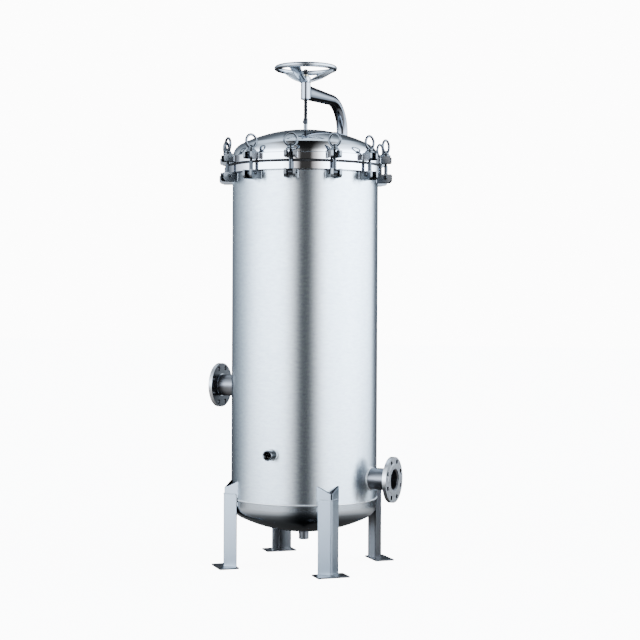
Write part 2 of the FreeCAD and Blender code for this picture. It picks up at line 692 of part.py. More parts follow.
def handwheel():
    """Cast handwheel: round rim, three waisted spokes that dish down, and a hub bored for the lifting nut."""
    rim = Part.makeTorus(WHEEL_OD / 2 - WHEEL_RIM_D / 2, WHEEL_RIM_D / 2, point(0, 0, wheel_rim_z))
    wheel = disc(WHEEL_HUB_D / 2, sleeve_top_z, sleeve_top_z + WHEEL_HUB_H)
    spoke = spoke_outline().extrude(point(0, 0, wheel_rim_z - sleeve_top_z)).common(wheel_dish())
    for k in range(SPOKE_COUNT):
        wheel = wheel.fuse(turned(spoke, SPOKE_FIRST_DEG + 360.0 / SPOKE_COUNT * k))
    wheel = wheel.fuse(rim)
    return wheel.cut(disc(LIFT_NUT_D / 2, sleeve_top_z, sleeve_top_z + 2 * LIFT_NUT_H))


def lifting_nut():
    """Bronze nut in the handwheel's hub, bored to run on the spindle."""
    return tube(LIFT_NUT_D / 2, spindle_r + RUN_FIT, sleeve_top_z, sleeve_top_z + LIFT_NUT_H)


def cartridge_places():
    """Centre, a ring of six and a ring of twelve, on one pitch."""
    places = [(0.0, 0.0)]
    for count in (6, 12):
        radius = CARTRIDGE_PITCH / 2 / math.sin(math.pi / count)
        places += [(radius * math.cos(2 * math.pi * k / count), radius * math.sin(2 * math.pi * k / count))
                   for k in range(count)]
    return places


cartridge_top_z = sheet_top_z + CARTRIDGE_L
tie_rod_places = [(TIE_ROD_R * math.cos(math.radians(a)), TIE_ROD_R * math.sin(math.radians(a)))
                  for a in (0, 90, 180, 270)]


def bored_plate(radius, z0, z1, bore, rod_bore):
    """Round plate with one bore for each cartridge and each tie rod."""
    plate = disc(radius, z0, z1)
    bores = [disc(bore, z0, z1, x, y) for x, y in cartridge_places()]
    bores += [disc(rod_bore, z0, z1, x, y) for x, y in tie_rod_places]
    return plate.cut(Part.makeCompound(bores))


def filter_cartridge(x, y):
    """Pleated cartridge with its spigot in the tube sheet and its spear through the hold-down plate."""
    body = disc(CARTRIDGE_D / 2, sheet_top_z, cartridge_top_z, x, y)
    spigot = disc(SPIGOT_D / 2, sheet_top_z - SPIGOT_L, sheet_top_z, x, y)
    spear = disc(SPEAR_D / 2, cartridge_top_z, cartridge_top_z + SPEAR_L, x, y)
    return body.fuse(spigot).fuse(spear)


def tie_rod(x, y):
    """Rod from the tube sheet to above the hold-down plate."""
    return disc(TIE_ROD_D / 2, sheet_top_z - SHEET_T, cartridge_top_z + SPEAR_L, x, y)


def tie_rod_nut(x, y):
    low = cartridge_top_z + HOLD_DOWN_T
    corners = [point(x + TIE_ROD_NUT_D / 2 * math.cos(math.radians(a)),
                     y + TIE_ROD_NUT_D / 2 * math.sin(math.radians(a)), low) for a in range(0, 360, 60)]
    blank = outline_face(corners).extrude(point(0, 0, TIE_ROD_NUT_H))
    return blank.cut(disc(TIE_ROD_D / 2, low, low + TIE_ROD_NUT_H, x, y))


os.makedirs("parts", exist_ok=True)

save("shell_barrel", [shell_barrel()])
save("bottom_head", [bottom_head()])
save("body_flange", [body_flange()])
save("flange_gasket", [gasket_solid(body_flange_top_z - GASKET_SEAT, lid_ring_z, 0)])
save("lower_lugs", fitted_lug_pairs(lower_lug_plate, shell_r, pivot_z - 2 * LUG_DROP, SHELL_TOP_Z))
save("pivot_pins", [turned(pivot_pin(), angle) for angle in clamp_angles])
save("tube_sheet", [bored_plate(shell_ri, sheet_top_z - SHEET_T, sheet_top_z,
                                SPIGOT_D / 2 + LOOSE_FIT, TIE_ROD_D / 2)])
save("filter_cartridges", [filter_cartridge(x, y) for x, y in cartridge_places()])
save("hold_down_plate", [bored_plate(shell_ri - HOLD_DOWN_EDGE, cartridge_top_z, cartridge_top_z + HOLD_DOWN_T,
                                     SPEAR_D / 2 + LOOSE_FIT, TIE_ROD_D / 2 + LOOSE_FIT)])
save("tie_rods", [tie_rod(x, y) for x, y in tie_rod_places])
save("tie_rod_nuts", [tie_rod_nut(x, y) for x, y in tie_rod_places])
save("outlet_pipe", [nozzle_pipe(OUTLET_Z, 1)])
save("outlet_flange", [nozzle_flange(OUTLET_Z, 1)])
save("inlet_pipe", [nozzle_pipe(INLET_Z, -1)])
save("inlet_flange", [nozzle_flange(INLET_Z, -1)])
save("side_drain_socket", [side_drain_socket()])
save("bottom_drain_socket", [bottom_drain_socket()])

for number, angle in enumerate(leg_angles, 1):
    save("leg_%d" % number, [turned(leg(), angle)])
save("foot_plates", [turned(foot_plate(), angle) for angle in leg_angles])

save("davit_socket", [davit_socket()])
save("davit_arm", [davit_arm()])
save("spindle_sleeve", [spindle_sleeve()])

save("lid_dome", [lid_dome()])
save("lid_ring", [tube(ring_r, shell_ri, lid_ring_z, lid_ring_top_z)])
save("upper_lugs", fitted_lug_pairs(upper_lug_plate, ring_r, lid_ring_z, upper_lug_top_z))
save("lifting_lug", [lifting_lug()])
save("spindle", [spindle()])
save("spindle_clevis", [spindle_clevis()])
save("clevis_pin", [clevis_pin()])
save("spindle_cap", [spindle_cap()])
save("handwheel", [handwheel()])
save("lifting_nut", [lifting_nut()])

for number, (angle, turn) in enumerate(zip(clamp_angles, NUT_TURNS_DEG), 1):
    save("swing_bolt_%02d" % number, [turned(swing_bolt(), angle)])
    save("eye_nut_%02d" % number, [turned(eye_nut(turn), angle)])
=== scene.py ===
import json
import math

import bpy
import numpy as np
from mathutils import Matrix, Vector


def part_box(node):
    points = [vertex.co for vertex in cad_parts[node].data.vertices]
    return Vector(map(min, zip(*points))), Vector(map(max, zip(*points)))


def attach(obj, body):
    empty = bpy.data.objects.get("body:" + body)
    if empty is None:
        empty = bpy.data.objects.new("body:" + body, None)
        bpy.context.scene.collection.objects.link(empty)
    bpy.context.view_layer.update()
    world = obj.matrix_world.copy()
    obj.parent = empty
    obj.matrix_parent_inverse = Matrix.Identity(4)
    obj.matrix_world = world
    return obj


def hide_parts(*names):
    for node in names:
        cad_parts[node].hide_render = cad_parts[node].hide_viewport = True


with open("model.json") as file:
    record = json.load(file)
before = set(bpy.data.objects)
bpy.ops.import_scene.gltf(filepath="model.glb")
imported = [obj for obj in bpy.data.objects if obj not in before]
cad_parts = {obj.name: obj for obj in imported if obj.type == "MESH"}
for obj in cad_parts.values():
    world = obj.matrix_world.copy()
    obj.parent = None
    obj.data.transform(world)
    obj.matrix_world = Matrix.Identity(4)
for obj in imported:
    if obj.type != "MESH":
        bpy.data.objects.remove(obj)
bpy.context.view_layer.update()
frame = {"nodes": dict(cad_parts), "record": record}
nodes = frame["nodes"]

MM = 0.001
UM = 1e-6
SHARP_DEG = 50

# The shell's radius and wall, and the straight skirt of its bottom head, in millimetres
SHELL_R = 300.0
SHELL_WALL = 4.0
HEAD_SKIRT = 24.0

# Stations of the swing bolts: first angle, step, radius, radius of a bolt's eye, and how each ring nut is turned
CLAMP_FIRST_DEG = 15.0
CLAMP_STEP_DEG = 30.0
CLAMP_R = 334.0
EYE_R = 14.0
NUT_TURNS_DEG = [68, 40, 20, 130, 75, 150, 80, 96, 172, 112, 36, 90]

# Angle of the first spoke and of the first leg, and how far a spoke's edges droop below its middle, in millimetres
SPOKE_FIRST_DEG = 32.0
LEG_FIRST_DEG = 43.5
SPOKE_DROOP = 15.0

# Where the camera of the photograph stands, from the shell's outline and the drain's side view
VIEW_AZIMUTH = 25.0
CAMERA_DISTANCE = 6.23
CAMERA_HEIGHT = 1.076
PHOTO_WIDTH = 640
FOCAL_PX = 1510.0
AXIS_X_PX = 304.8
HORIZON_Y_PX = 302.0
ROLL_DEG = 0.25
SENSOR_MM = 36.0

# The studio that the metal mirrors, and the white that the camera sees behind the vessel
STUDIO_STRENGTH = 7.9
BACKDROP_STRENGTH = 12.0
CEILING = (0.61, 0.627, 0.643, 1.0)

# Its greys: by azimuth from the camera in degrees, by the sine of the height, by the share of ceiling at that sine, by
# the sideways sine of the dark gap round the camera, and by how far ahead that gap reaches
AROUND_STOPS = [(-180, 0.012), (-150, 0.03), (-126, 0.1), (-108, 0.22), (-93, 0.45), (-80, 0.7), (-68, 0.9),
                (-50, 1.0), (0, 1.0), (51, 1.15), (73, 1.3), (99, 1.1), (115, 0.88), (126, 0.62), (132, 0.3),
                (137, 0.06), (142, 0.012), (165, 0.008), (180, 0.008)]
HEIGHT_STOPS = [(-1, 0.005), (-0.85, 0.01), (-0.74, 0.04), (-0.62, 0.12), (-0.4, 0.25), (-0.25, 0.4), (-0.15, 0.5),
                (-0.08, 0.55), (0, 0.85), (0.08, 1.18), (0.14, 1.3), (0.28, 1.2), (0.4, 0.75), (0.5, 0.5),
                (0.6, 0.38), (1, 0.36)]
OVERHEAD_STOPS = [(-1, 0.0), (0.36, 0.003), (0.5, 0.01), (0.6, 0.025), (0.67, 0.06), (0.73, 0.14), (0.81, 0.34),
                  (0.89, 0.7), (1, 1.0)]
GAP_STOPS = [(-1, 1.0), (-0.55, 0.95), (-0.42, 0.6), (-0.33, 0.33), (-0.25, 0.15), (-0.18, 0.055), (-0.12, 0.005),
             (0.13, 0.005), (0.2, 0.055), (0.28, 0.13), (0.36, 0.36), (0.47, 0.75), (0.6, 1.0), (1, 1.0)]
FRONT_STOPS = [(-1, 0.0), (-0.28, 0.0), (-0.14, 1.0), (1, 1.0)]
GAP_TINT = (1.05, 1.0, 0.97, 1.0)
WALL_TINT = (0.87, 1.0, 1.14, 1.0)
WHITE = (1.0, 1.0, 1.0, 1.0)

# Glow of the floor that the camera sees, and the greys of the one that the metal mirrors by distance in metres,
# dark close to the vessel as its painted shadow
FLOOR_GLOW = 10.0
FLOOR_HALF = 30.0
FLOOR_IN_METAL = [(0, 0.02), (0.3, 0.06), (0.5, 0.2), (0.65, 0.6), (0.9, 0.9), (1.3, 1.0), (2, 1.1), (4, 1.3),
                  (8, 1.8)]
FLOOR_CARD_R = 8.0
FLOOR_CARD_LOW = 0.002

# Inputs and output of a colour mix, and the two ways in which colours are mixed
SHARE, FIRST, SECOND, MIXED = 0, 6, 7, 2
BLEND = {"data_type": "RGBA", "blend_type": "MIX"}
PRODUCT = {"data_type": "RGBA", "blend_type": "MULTIPLY"}


def colour(hex_code):
    """sRGB hex to linear RGBA."""
    parts = [int(hex_code[i:i + 2], 16) / 255 for i in (1, 3, 5)]
    linear = [c / 12.92 if c <= 0.04045 else ((c + 0.055) / 1.055) ** 2.4 for c in parts]
    return (*linear, 1.0)


def add_node(tree, kind, settings=None, links=None, **props):
    """Adds one node: props are its own properties, settings its socket values, links its inputs from other sockets."""
    node = tree.nodes.new(kind)
    for name, value in props.items():
        setattr(node, name, value)
    for name, value in (settings or {}).items():
        node.inputs[name].default_value = value
    for name, source in (links or {}).items():
        tree.links.new(source, node.inputs[name])
    return node


def new_material(name):
    """An empty material and its node tree."""
    material = bpy.data.materials.new(name)
    material.use_nodes = True
    material.node_tree.nodes.clear()
    return material, material.node_tree


def finish_material(tree, shader):
    """Puts the shader on the surface."""
    add_node(tree, "ShaderNodeOutputMaterial", links={"Surface": shader.outputs["BSDF"]})


# How the grain is squeezed along X, Y and Z: a number above 1 makes the marks shorter that way, one below 1 longer
FLAT_GRAIN = (1.0, 1.0, 8.0)
BRUSH_MARKS = (1.0, 1.0, 2.6)
UPRIGHT_GRAIN = (1.0, 1.0, 0.1)
EVEN_GRAIN = (1.0, 1.0, 1.0)
GRAIN_DETAIL = 3.0
GRAIN_ROUGHNESS = 0.6

# The flanges' turned faces lie beyond this distance from the vessel's axis, their turned edges beyond this radius, and
# their bores within this one
FLANGE_FACE_MM = 399.6
FLANGE_EDGE_MM = 91.9
FLANGE_BORE_MM = 47.0

# Halfway through the wall of the legs' angle bars, measured along and across their plane of symmetry; the inner
# faces within it are given painted shade
LEG_MIDDLE_MM = 342.0


def stainless(name, tint, roughness, spread, grain_mm, bump_um, squeeze=EVEN_GRAIN, edge_mm=0.7, brushed=0.0,
              across=0.0, rubbed=None, other=None, split_deg=0.0, inside=None, inside_mm=0.0):
    """Stainless steel with a grain in its roughness and its height.

    tint is the metal's colour, roughness its middle value, spread how far the grain moves it, grain_mm the grain's
    width, bump_um its height, squeeze how it is squeezed along X, Y and Z, and edge_mm the radius to which the edges
    are broken. brushed draws the highlights out across grooves that run round Z, and across turns them by a share of
    a full turn. rubbed is the tint where the brush ran over more often: the real marks are under 0.1 mm, and are
    drawn as wide as the render can show. other paints light and shade: it is the tint on the far side of the upright
    plane through the axis at the angle split_deg, so that the two flanges of an angle bar show different shades. inside
    is painted shade: the tint of the bar's inner faces, where the way along and across that plane adds up to less than
    inside_mm.
    """
    material, tree = new_material(name)
    place = add_node(tree, "ShaderNodeTexCoord")
    mapping = add_node(tree, "ShaderNodeMapping", {"Scale": squeeze}, {"Vector": place.outputs["Object"]})
    grain = add_node(tree, "ShaderNodeTexNoise",
                     {"Scale": 1 / (grain_mm * MM), "Detail": GRAIN_DETAIL, "Roughness": GRAIN_ROUGHNESS},
                     {"Vector": mapping.outputs["Vector"]})
    rough = add_node(tree, "ShaderNodeMapRange", {"To Min": roughness - spread, "To Max": roughness + spread},
                     {"Value": grain.outputs["Fac"]})
    edge = add_node(tree, "ShaderNodeBevel", {"Radius": edge_mm * MM}, samples=4)
    bump = add_node(tree, "ShaderNodeBump", {"Strength": 1.0, "Distance": bump_um * UM},
                    {"Height": grain.outputs["Fac"], "Normal": edge.outputs["Normal"]})
    shader = add_node(tree, "ShaderNodeBsdfPrincipled",
                      {"Base Color": colour(tint), "Metallic": 1.0, "Anisotropic": brushed,
                       "Anisotropic Rotation": across},
                      {"Roughness": rough.outputs["Result"], "Normal": bump.outputs["Normal"]})
    if brushed:
        grooves = add_node(tree, "ShaderNodeTangent", direction_type="RADIAL", axis="Z")
        tree.links.new(grooves.outputs["Tangent"], shader.inputs["Tangent"])
    if rubbed:
        tone = add_node(tree, "ShaderNodeMix", {FIRST: colour(tint), SECOND: colour(rubbed)},
                        {SHARE: grain.outputs["Fac"]}, **BLEND)
        tree.links.new(tone.outputs[MIXED], shader.inputs["Base Color"])
    # Painted light and shade: a second tint beyond the upright plane at split_deg, so an angle bar's flanges differ
    if other:
        turned = add_node(tree, "ShaderNodeMapping", {"Rotation": (0, 0, math.radians(-split_deg))},
                          {"Vector": place.outputs["Object"]})
        sides = add_node(tree, "ShaderNodeSeparateXYZ", links={"Vector": turned.outputs["Vector"]})
        far = add_node(tree, "ShaderNodeMath", {1: 0.0}, {0: sides.outputs["Y"]}, operation="GREATER_THAN")
        tone = add_node(tree, "ShaderNodeMix", {FIRST: colour(tint), SECOND: colour(other)},
                        {SHARE: far.outputs["Value"]}, **BLEND)
        # Painted shade: a dark tint on the angle bar's inner faces
        if inside:
            beside = add_node(tree, "ShaderNodeMath", links={0: sides.outputs["Y"]}, operation="ABSOLUTE")
            depth = add_node(tree, "ShaderNodeMath", links={0: sides.outputs["X"], 1: beside.outputs["Value"]},
                             operation="ADD")
            within = add_node(tree, "ShaderNodeMath", {1: inside_mm * MM}, {0: depth.outputs["Value"]},
                              operation="LESS_THAN")
            tone = add_node(tree, "ShaderNodeMix", {SECOND: colour(inside)},
                            {SHARE: within.outputs["Value"], FIRST: tone.outputs[MIXED]}, **BLEND)
        tree.links.new(tone.outputs[MIXED], shader.inputs["Base Color"])
    finish_material(tree, shader)
    return material


def turned_flange(name, centre_mm, bright, dark):
    """Flange turned bright on its face, edge and bore, with its back and bolt holes painted dark as shade.

    centre_mm is the height of the flange's middle. The turned parts are those beyond FLANGE_FACE_MM, beyond
    FLANGE_EDGE_MM, or within FLANGE_BORE_MM.
    """
    material = stainless(name, bright, 0.3, 0.05, 1.5, 10.0)
    tree = material.node_tree
    place = add_node(tree, "ShaderNodeTexCoord")
    moved_out = add_node(tree, "ShaderNodeMapping", {"Location": (0, 0, -centre_mm * MM)},
                         {"Vector": place.outputs["Object"]})
    axes = add_node(tree, "ShaderNodeSeparateXYZ", links={"Vector": moved_out.outputs["Vector"]})
    out = add_node(tree, "ShaderNodeMath", links={0: axes.outputs["X"]}, operation="ABSOLUTE")
    flat = add_node(tree, "ShaderNodeCombineXYZ", links={"Y": axes.outputs["Y"], "Z": axes.outputs["Z"]})
    radius = add_node(tree, "ShaderNodeVectorMath", links={"Vector": flat.outputs["Vector"]}, operation="LENGTH")
    face, edge, bore = (add_node(tree, "ShaderNodeMath", {1: limit * MM}, {0: way.outputs["Value"]}, operation=test)
                        for way, test, limit in ((out, "GREATER_THAN", FLANGE_FACE_MM),
                                                 (radius, "GREATER_THAN", FLANGE_EDGE_MM),
                                                 (radius, "LESS_THAN", FLANGE_BORE_MM)))
    turned = face
    for part in (edge, bore):
        turned = add_node(tree, "ShaderNodeMath", links={0: turned.outputs["Value"], 1: part.outputs["Value"]},
                          operation="MAXIMUM")
    # Painted shade: the back and bolt holes take the dark tint, which the shell also mirrors
    tone = add_node(tree, "ShaderNodeMix", {FIRST: colour(dark), SECOND: colour(bright)},
                    {SHARE: turned.outputs["Value"]}, **BLEND)
    shader = next(node for node in tree.nodes if node.type == "BSDF_PRINCIPLED")
    tree.links.new(tone.outputs[MIXED], shader.inputs["Base Color"])
    return material


def black_rubber():
    """Moulded black rubber gives a dull, slightly mottled black."""
    material, tree = new_material("moulded_black_rubber")
    place = add_node(tree, "ShaderNodeTexCoord")
    mottle = add_node(tree, "ShaderNodeTexNoise", {"Scale": 400.0, "Detail": 2.0}, {"Vector": place.outputs["Object"]})
    tone = add_node(tree, "ShaderNodeValToRGB", links={"Fac": mottle.outputs["Fac"]})
    tone.color_ramp.elements[0].color = colour("#08080a")
    tone.color_ramp.elements[1].color = colour("#101113")
    shader = add_node(tree, "ShaderNodeBsdfPrincipled", {"Roughness": 0.62, "Specular IOR Level": 0.12},
                      {"Base Color": tone.outputs["Color"]})
    finish_material(tree, shader)
    return material


def gloss_phenolic():
    """Pressed black phenolic gives a deep gloss with a faint orange peel."""
    material, tree = new_material("gloss_black_phenolic")
    place = add_node(tree, "ShaderNodeTexCoord")
    peel = add_node(tree, "ShaderNodeTexNoise", {"Scale": 900.0, "Detail": 1.0}, {"Vector": place.outputs["Object"]})
    bump = add_node(tree, "ShaderNodeBump", {"Strength": 0.4, "Distance": 2e-5}, {"Height": peel.outputs["Fac"]})
    shader = add_node(tree, "ShaderNodeBsdfPrincipled",
                      {"Base Color": colour("#0a0a0b"), "Roughness": 0.18, "Specular IOR Level": 0.2},
                      {"Normal": bump.outputs["Normal"]})
    finish_material(tree, shader)
    return material


def fleece():
    """White melt-blown fleece of the cartridges, with fine cross fibres."""
    material, tree = new_material("melt_blown_fleece")
    place = add_node(tree, "ShaderNodeTexCoord")
    fibre = add_node(tree, "ShaderNodeTexNoise", {"Scale": 700.0, "Detail": 4.0}, {"Vector": place.outputs["Object"]})
    bump = add_node(tree, "ShaderNodeBump", {"Strength": 0.6, "Distance": 2e-4}, {"Height": fibre.outputs["Fac"]})
    shader = add_node(tree, "ShaderNodeBsdfPrincipled", {"Base Color": colour("#ecece4"), "Roughness": 0.9},
                      {"Normal": bump.outputs["Normal"]})
    finish_material(tree, shader)
    return material


# The finishes by name. The line over each says what the real surface is and what it gives the eye.
finishes = {
    # Rolled sheet brushed round the shell: soft broad lights drawn out round it, with faint marks
    "satin_shell": stainless("satin_brushed_stainless", "#f0fbff", 0.32, 0.025, 22.0, 12.0, squeeze=BRUSH_MARKS,
                             brushed=0.75, across=0.25, rubbed="#c2cbd9"),
    # Pipe as drawn and pickled: a dull grey sheen
    "pipe_satin": stainless("satin_pipe_stainless", "#747579", 0.32, 0.03, 2.0, 8.0),
    # Head spun and lightly polished: the dark floor shows in it as a blurred band
    "bottom_satin": stainless("satin_spun_head", "#c3cbd4", 0.2, 0.04, 3.0, 8.0, squeeze=FLAT_GRAIN),
    # Head pressed and mirror polished: the studio shows in it clearly, bent by the crown
    "mirror_dome": stainless("mirror_polished_dome", "#d3d9e0", 0.09, 0.015, 14.0, 6.0),
    # Rings turned and polished: bright with crisp upright dark bands
    "polished_ring": stainless("polished_turned_ring", "#e9ecf2", 0.07, 0.02, 1.5, 5.0, squeeze=FLAT_GRAIN),
    # Short turned sleeve, polished: sharp light and dark stripes along it
    "polished_pipe": stainless("polished_pipe", "#7d8188", 0.06, 0.03, 6.0, 8.0),
    # Weld bead brushed: the darker copy of the weld tint, kept as painted shade for welds in the creases by lugs and
    # rings
    "weld_steel": stainless("brushed_weld_painted_shade", "#a9aeb5", 0.22, 0.06, 1.5, 20.0),
    # Weld bead ground and blasted: an even pale line, partly its own colour and partly painted light, as the lit copy
    "bright_weld": stainless("ground_weld_painted_light", "#e0e4e8", 0.45, 0.06, 1.5, 20.0),
    # Bent pipe, polished: near-black and white streaks that follow the bend
    "davit_steel": stainless("bright_davit_pipe", "#6b6f76", 0.05, 0.01, 6.0, 8.0),
    # Bright polished stock, under the pieces that take its place
    "polished_steel": stainless("bright_polished_stainless", "#dfe3e8", 0.06, 0.02, 12.0, 4.0),
    # Forged flanges, turned where they seal: a light face, with painted shade on the back and in the bolt holes; the
    # inlet's copy, on the far side, is painted darker all over as shade
    "outlet_face": turned_flange("turned_outlet_flange_painted_shade_back", 363.0, "#cecfd2", "#4f4f51"),
    "inlet_face": turned_flange("turned_inlet_flange_painted_shade", 724.0, "#b4b5b8", "#3d3d3f"),
    # Angle bar and sheet, blasted: a flat pale grey
    "leg_steel": stainless("blasted_stainless", "#b3bdc9", 0.36, 0.05, 2.0, 15.0),
    # Front leg, blasted, in painted shade: one flange darker than the other, and the inside dark
    "front_leg": stainless("front_leg_painted_shade_stainless", "#a7b1bd", 0.36, 0.05, 2.0, 15.0,
                           edge_mm=3.5, other="#7f868e", split_deg=313.5, inside="#141516", inside_mm=LEG_MIDDLE_MM),
    # Left leg, both flanges blasted, and the inside dark with painted shade
    "left_leg": stainless("left_leg_painted_shade_inside_stainless", "#b3bdc9", 0.36, 0.05, 2.0, 15.0,
                          other="#b3bdc9", split_deg=223.5, inside="#141516", inside_mm=LEG_MIDDLE_MM),
    # Right leg in painted shade: mid grey, one flange darker than the other
    "right_leg": stainless("right_leg_painted_shade_stainless", "#555659", 0.36, 0.05, 2.0, 15.0,
                           other="#82858a", split_deg=43.5),
    # Back leg in painted shade: seen between the others as a dull grey
    "back_leg": stainless("back_leg_painted_shade_stainless", "#626366", 0.36, 0.05, 2.0, 15.0,
                          other="#848689", split_deg=133.5),
    # Cut plate under the legs: a dull dark grey
    "foot_steel": stainless("dark_plate_stainless", "#5a5b5e", 0.34, 0.05, 2.0, 20.0),
    # Weld bead left as welded on the legs: greyer than the brushed ones
    "leg_weld_steel": stainless("unbrushed_weld", "#a4a8ad", 0.24, 0.06, 1.5, 20.0),
    # Cut and ground plate: dark with bright edges
    "lug_steel": stainless("ground_plate_stainless", "#5f6266", 0.22, 0.06, 1.5, 12.0),
    # Cast and polished wheel: soft bright lights with a slight orange peel
    "cast_steel": stainless("polished_cast_stainless", "#a8aeb5", 0.27, 0.05, 5.0, 40.0),
    # Cast and tumbled ring nuts: dark with small sharp lights
    "nut_steel": stainless("cast_nut_stainless", "#565a5f", 0.16, 0.04, 4.0, 40.0),
    # Cut screw, oiled: nearly black
    "spindle_steel": stainless("oiled_screw_stainless", "#222427", 0.34, 0.04, 1.5, 10.0),
    # Drawn bar: dark, with fine marks that run along it
    "bolt_steel": stainless("drawn_bar_stainless", "#3a3d41", 0.22, 0.05, 1.2, 10.0, squeeze=UPRIGHT_GRAIN),
    # Plate as it left the mill, inside the vessel: a matt mid grey
    "inner_steel": stainless("mill_finish_stainless", "#a4a8ac", 0.4, 0.05, 2.0, 10.0),
    # Machined nickel bronze: a pale yellowish metal
    "bronze": stainless("machined_nickel_bronze", "#a09a88", 0.3, 0.05, 1.0, 10.0),
    "gasket_rubber": black_rubber(),
    "black_knob": gloss_phenolic(),
    "cartridge_fleece": fleece(),
}

# CAD nodes whose finish differs from the rest of their material slot. The side drain socket takes the dark plate
# finish as painted shade in and round its bore
OWN_FINISH = {"outlet_pipe": "pipe_satin", "inlet_pipe": "pipe_satin", "outlet_flange": "outlet_face",
              "inlet_flange": "inlet_face", "leg_1": "right_leg", "leg_2": "back_leg", "leg_3": "left_leg",
              "leg_4": "front_leg", "foot_plates": "foot_steel", "clevis_pin": "spindle_steel",
              "spindle_clevis": "spindle_steel", "side_drain_socket": "lug_steel", "bottom_drain_socket": "pipe_satin"}


def dress_nodes():
    """Gives every CAD node the finish of its material slot."""
    for part in frame["record"]["subparts"]:
        mesh = nodes[part["node"]].data
        mesh.materials.clear()
        mesh.materials.append(finishes[OWN_FINISH.get(part["node"], part["material_slot"])])


def box_mm(node):
    """Lowest and highest corner of a CAD node, in millimetres."""
    low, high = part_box(node)
    return np.array(low) / MM, np.array(high) / MM


def new_piece(name, shapes, finish, body, *replaced):
    """One smooth mesh from closed (points in mm, faces) shapes, riding on a CAD body in place of CAD nodes.

    A shape is inside out where the sum of a . (b x c) over its faces' first three corners is below 0, and is turned.
    """
    points, faces, start = [], [], 0
    for spots, polygons in shapes:
        corners = spots[np.array([face[:3] for face in polygons])]
        if np.einsum("ij,ij->", corners[:, 0], np.cross(corners[:, 1], corners[:, 2])) < 0:
            polygons = [face[::-1] for face in polygons]
        faces += [[index + start for index in face] for face in polygons]
        points.append(spots)
        start += len(spots)
    mesh = bpy.data.meshes.new(name)
    mesh.from_pydata((np.concatenate(points) * MM).tolist(), [], faces)
    mesh.polygons.foreach_set("use_smooth", np.ones(len(mesh.polygons), dtype=bool))
    mesh.set_sharp_from_angle(angle=math.radians(SHARP_DEG))
    mesh.materials.append(finishes[finish])
    piece = bpy.data.objects.new(name, mesh)
    bpy.context.scene.collection.objects.link(piece)
    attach(piece, body)
    if replaced:
        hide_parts(*replaced)


def loft(loops, ring=False):
    """Skin over closed loops of points (loops, points, 3), with quads between each loop and the next.

    A ring joins the last loop to the first, and otherwise the first and the last loop are capped.
    """
    rows, cols = loops.shape[:2]
    row = np.arange(rows if ring else rows - 1)[:, None]
    col = np.arange(cols)[None, :]
    after = (row + 1) % rows
    beside = (col + 1) % cols
    quads = np.stack([row * cols + col, row * cols + beside, after * cols + beside, after * cols + col], axis=-1)
    faces = quads.reshape(-1, 4).tolist()
    if not ring:
        faces += [list(range(cols))[::-1], list(range((rows - 1) * cols, rows * cols))]
    return loops.reshape(-1, 3), faces


def rounded(corners, radius):
    """Corners (r, z, own radius or none) with each corner replaced by an arc.

    An arc of radius q in a corner of half angle h starts q / tan h from the corner, on a centre q / sin h away from it.
    It takes 45 % of a side at most, and a point stays close to each of its ends, so that the flats shade flat.
    """
    steps, straight, part, rest = 4, 1.55, 0.45, 0.3
    count = len(corners)
    places = np.array([corner[:2] for corner in corners], dtype=float)
    path = []
    for index in range(count):
        size = corners[index][2] if len(corners[index]) > 2 else radius
        here = places[index]
        back = places[index - 1] - here
        ahead = places[(index + 1) % count] - here
        back_length, ahead_length = np.hypot(*back), np.hypot(*ahead)
        back, ahead = back / back_length, ahead / ahead_length
        half = math.acos(max(-1.0, min(1.0, float(back @ ahead)))) / 2
        if size <= 0 or half > straight:
            path.append(here)
            continue
        reach = min(size / math.tan(half), part * back_length, part * ahead_length)
        size = reach * math.tan(half)
        middle = here + (back + ahead) / np.hypot(*(back + ahead)) * size / math.sin(half)
        first, last = here + back * reach, here + ahead * reach
        share = np.linspace(0, 1, steps + 1)[:, None]
        fan = (first - middle) * (1 - share) + (last - middle) * share
        fan = fan / np.hypot(fan[:, 0], fan[:, 1])[:, None] * size + middle
        path.append(first + back * min(rest, 0.1 * back_length))
        path += list(fan)
        path.append(last + ahead * min(rest, 0.1 * ahead_length))
    return np.array(path)


def spin_loops(profile, count):
    """The (r, z) profile turned about Z: loops[k, i] = (r_k cos a_i, r_k sin a_i, z_k)."""
    angle = np.linspace(0, 2 * math.pi, count, endpoint=False)
    r, z = profile[:, 0][:, None], profile[:, 1][:, None]
    return np.stack([r * np.cos(angle), r * np.sin(angle), z + 0 * angle], axis=-1)


def spun_ring(corners, radius, count):
    """A ring: a closed section with rounded corners, turned about Z."""
    return loft(spin_loops(rounded(corners, radius), count), ring=True)


def spun_bar(profile, count):
    """A turned bar: the profile runs from one end face to the other, and its ends are closed close to the axis."""
    profile = np.array(profile, dtype=float)
    ends = profile[[0, -1]]
    ends[:, 0] = 0.02
    return loft(spin_loops(np.concatenate([ends[:1], profile, ends[1:]]), count))


def moved(shape, basis, origin):
    """A shape whose local X, Y and Z point along the rows of basis, with its origin moved."""
    points, faces = shape
    return points @ np.array(basis, dtype=float) + np.array(origin, dtype=float), faces


def station(shape, degrees, radius):
    """A shape moved out along X by radius and turned about the vessel's axis."""
    c, s = math.cos(math.radians(degrees)), math.sin(math.radians(degrees))
    return moved((shape[0] + [radius, 0, 0], shape[1]), [[c, s, 0], [-s, c, 0], [0, 0, 1]], [0, 0, 0])


def turn_about(shape, degrees):
    """A shape turned about the vessel's axis."""
    return station(shape, degrees, 0.0)


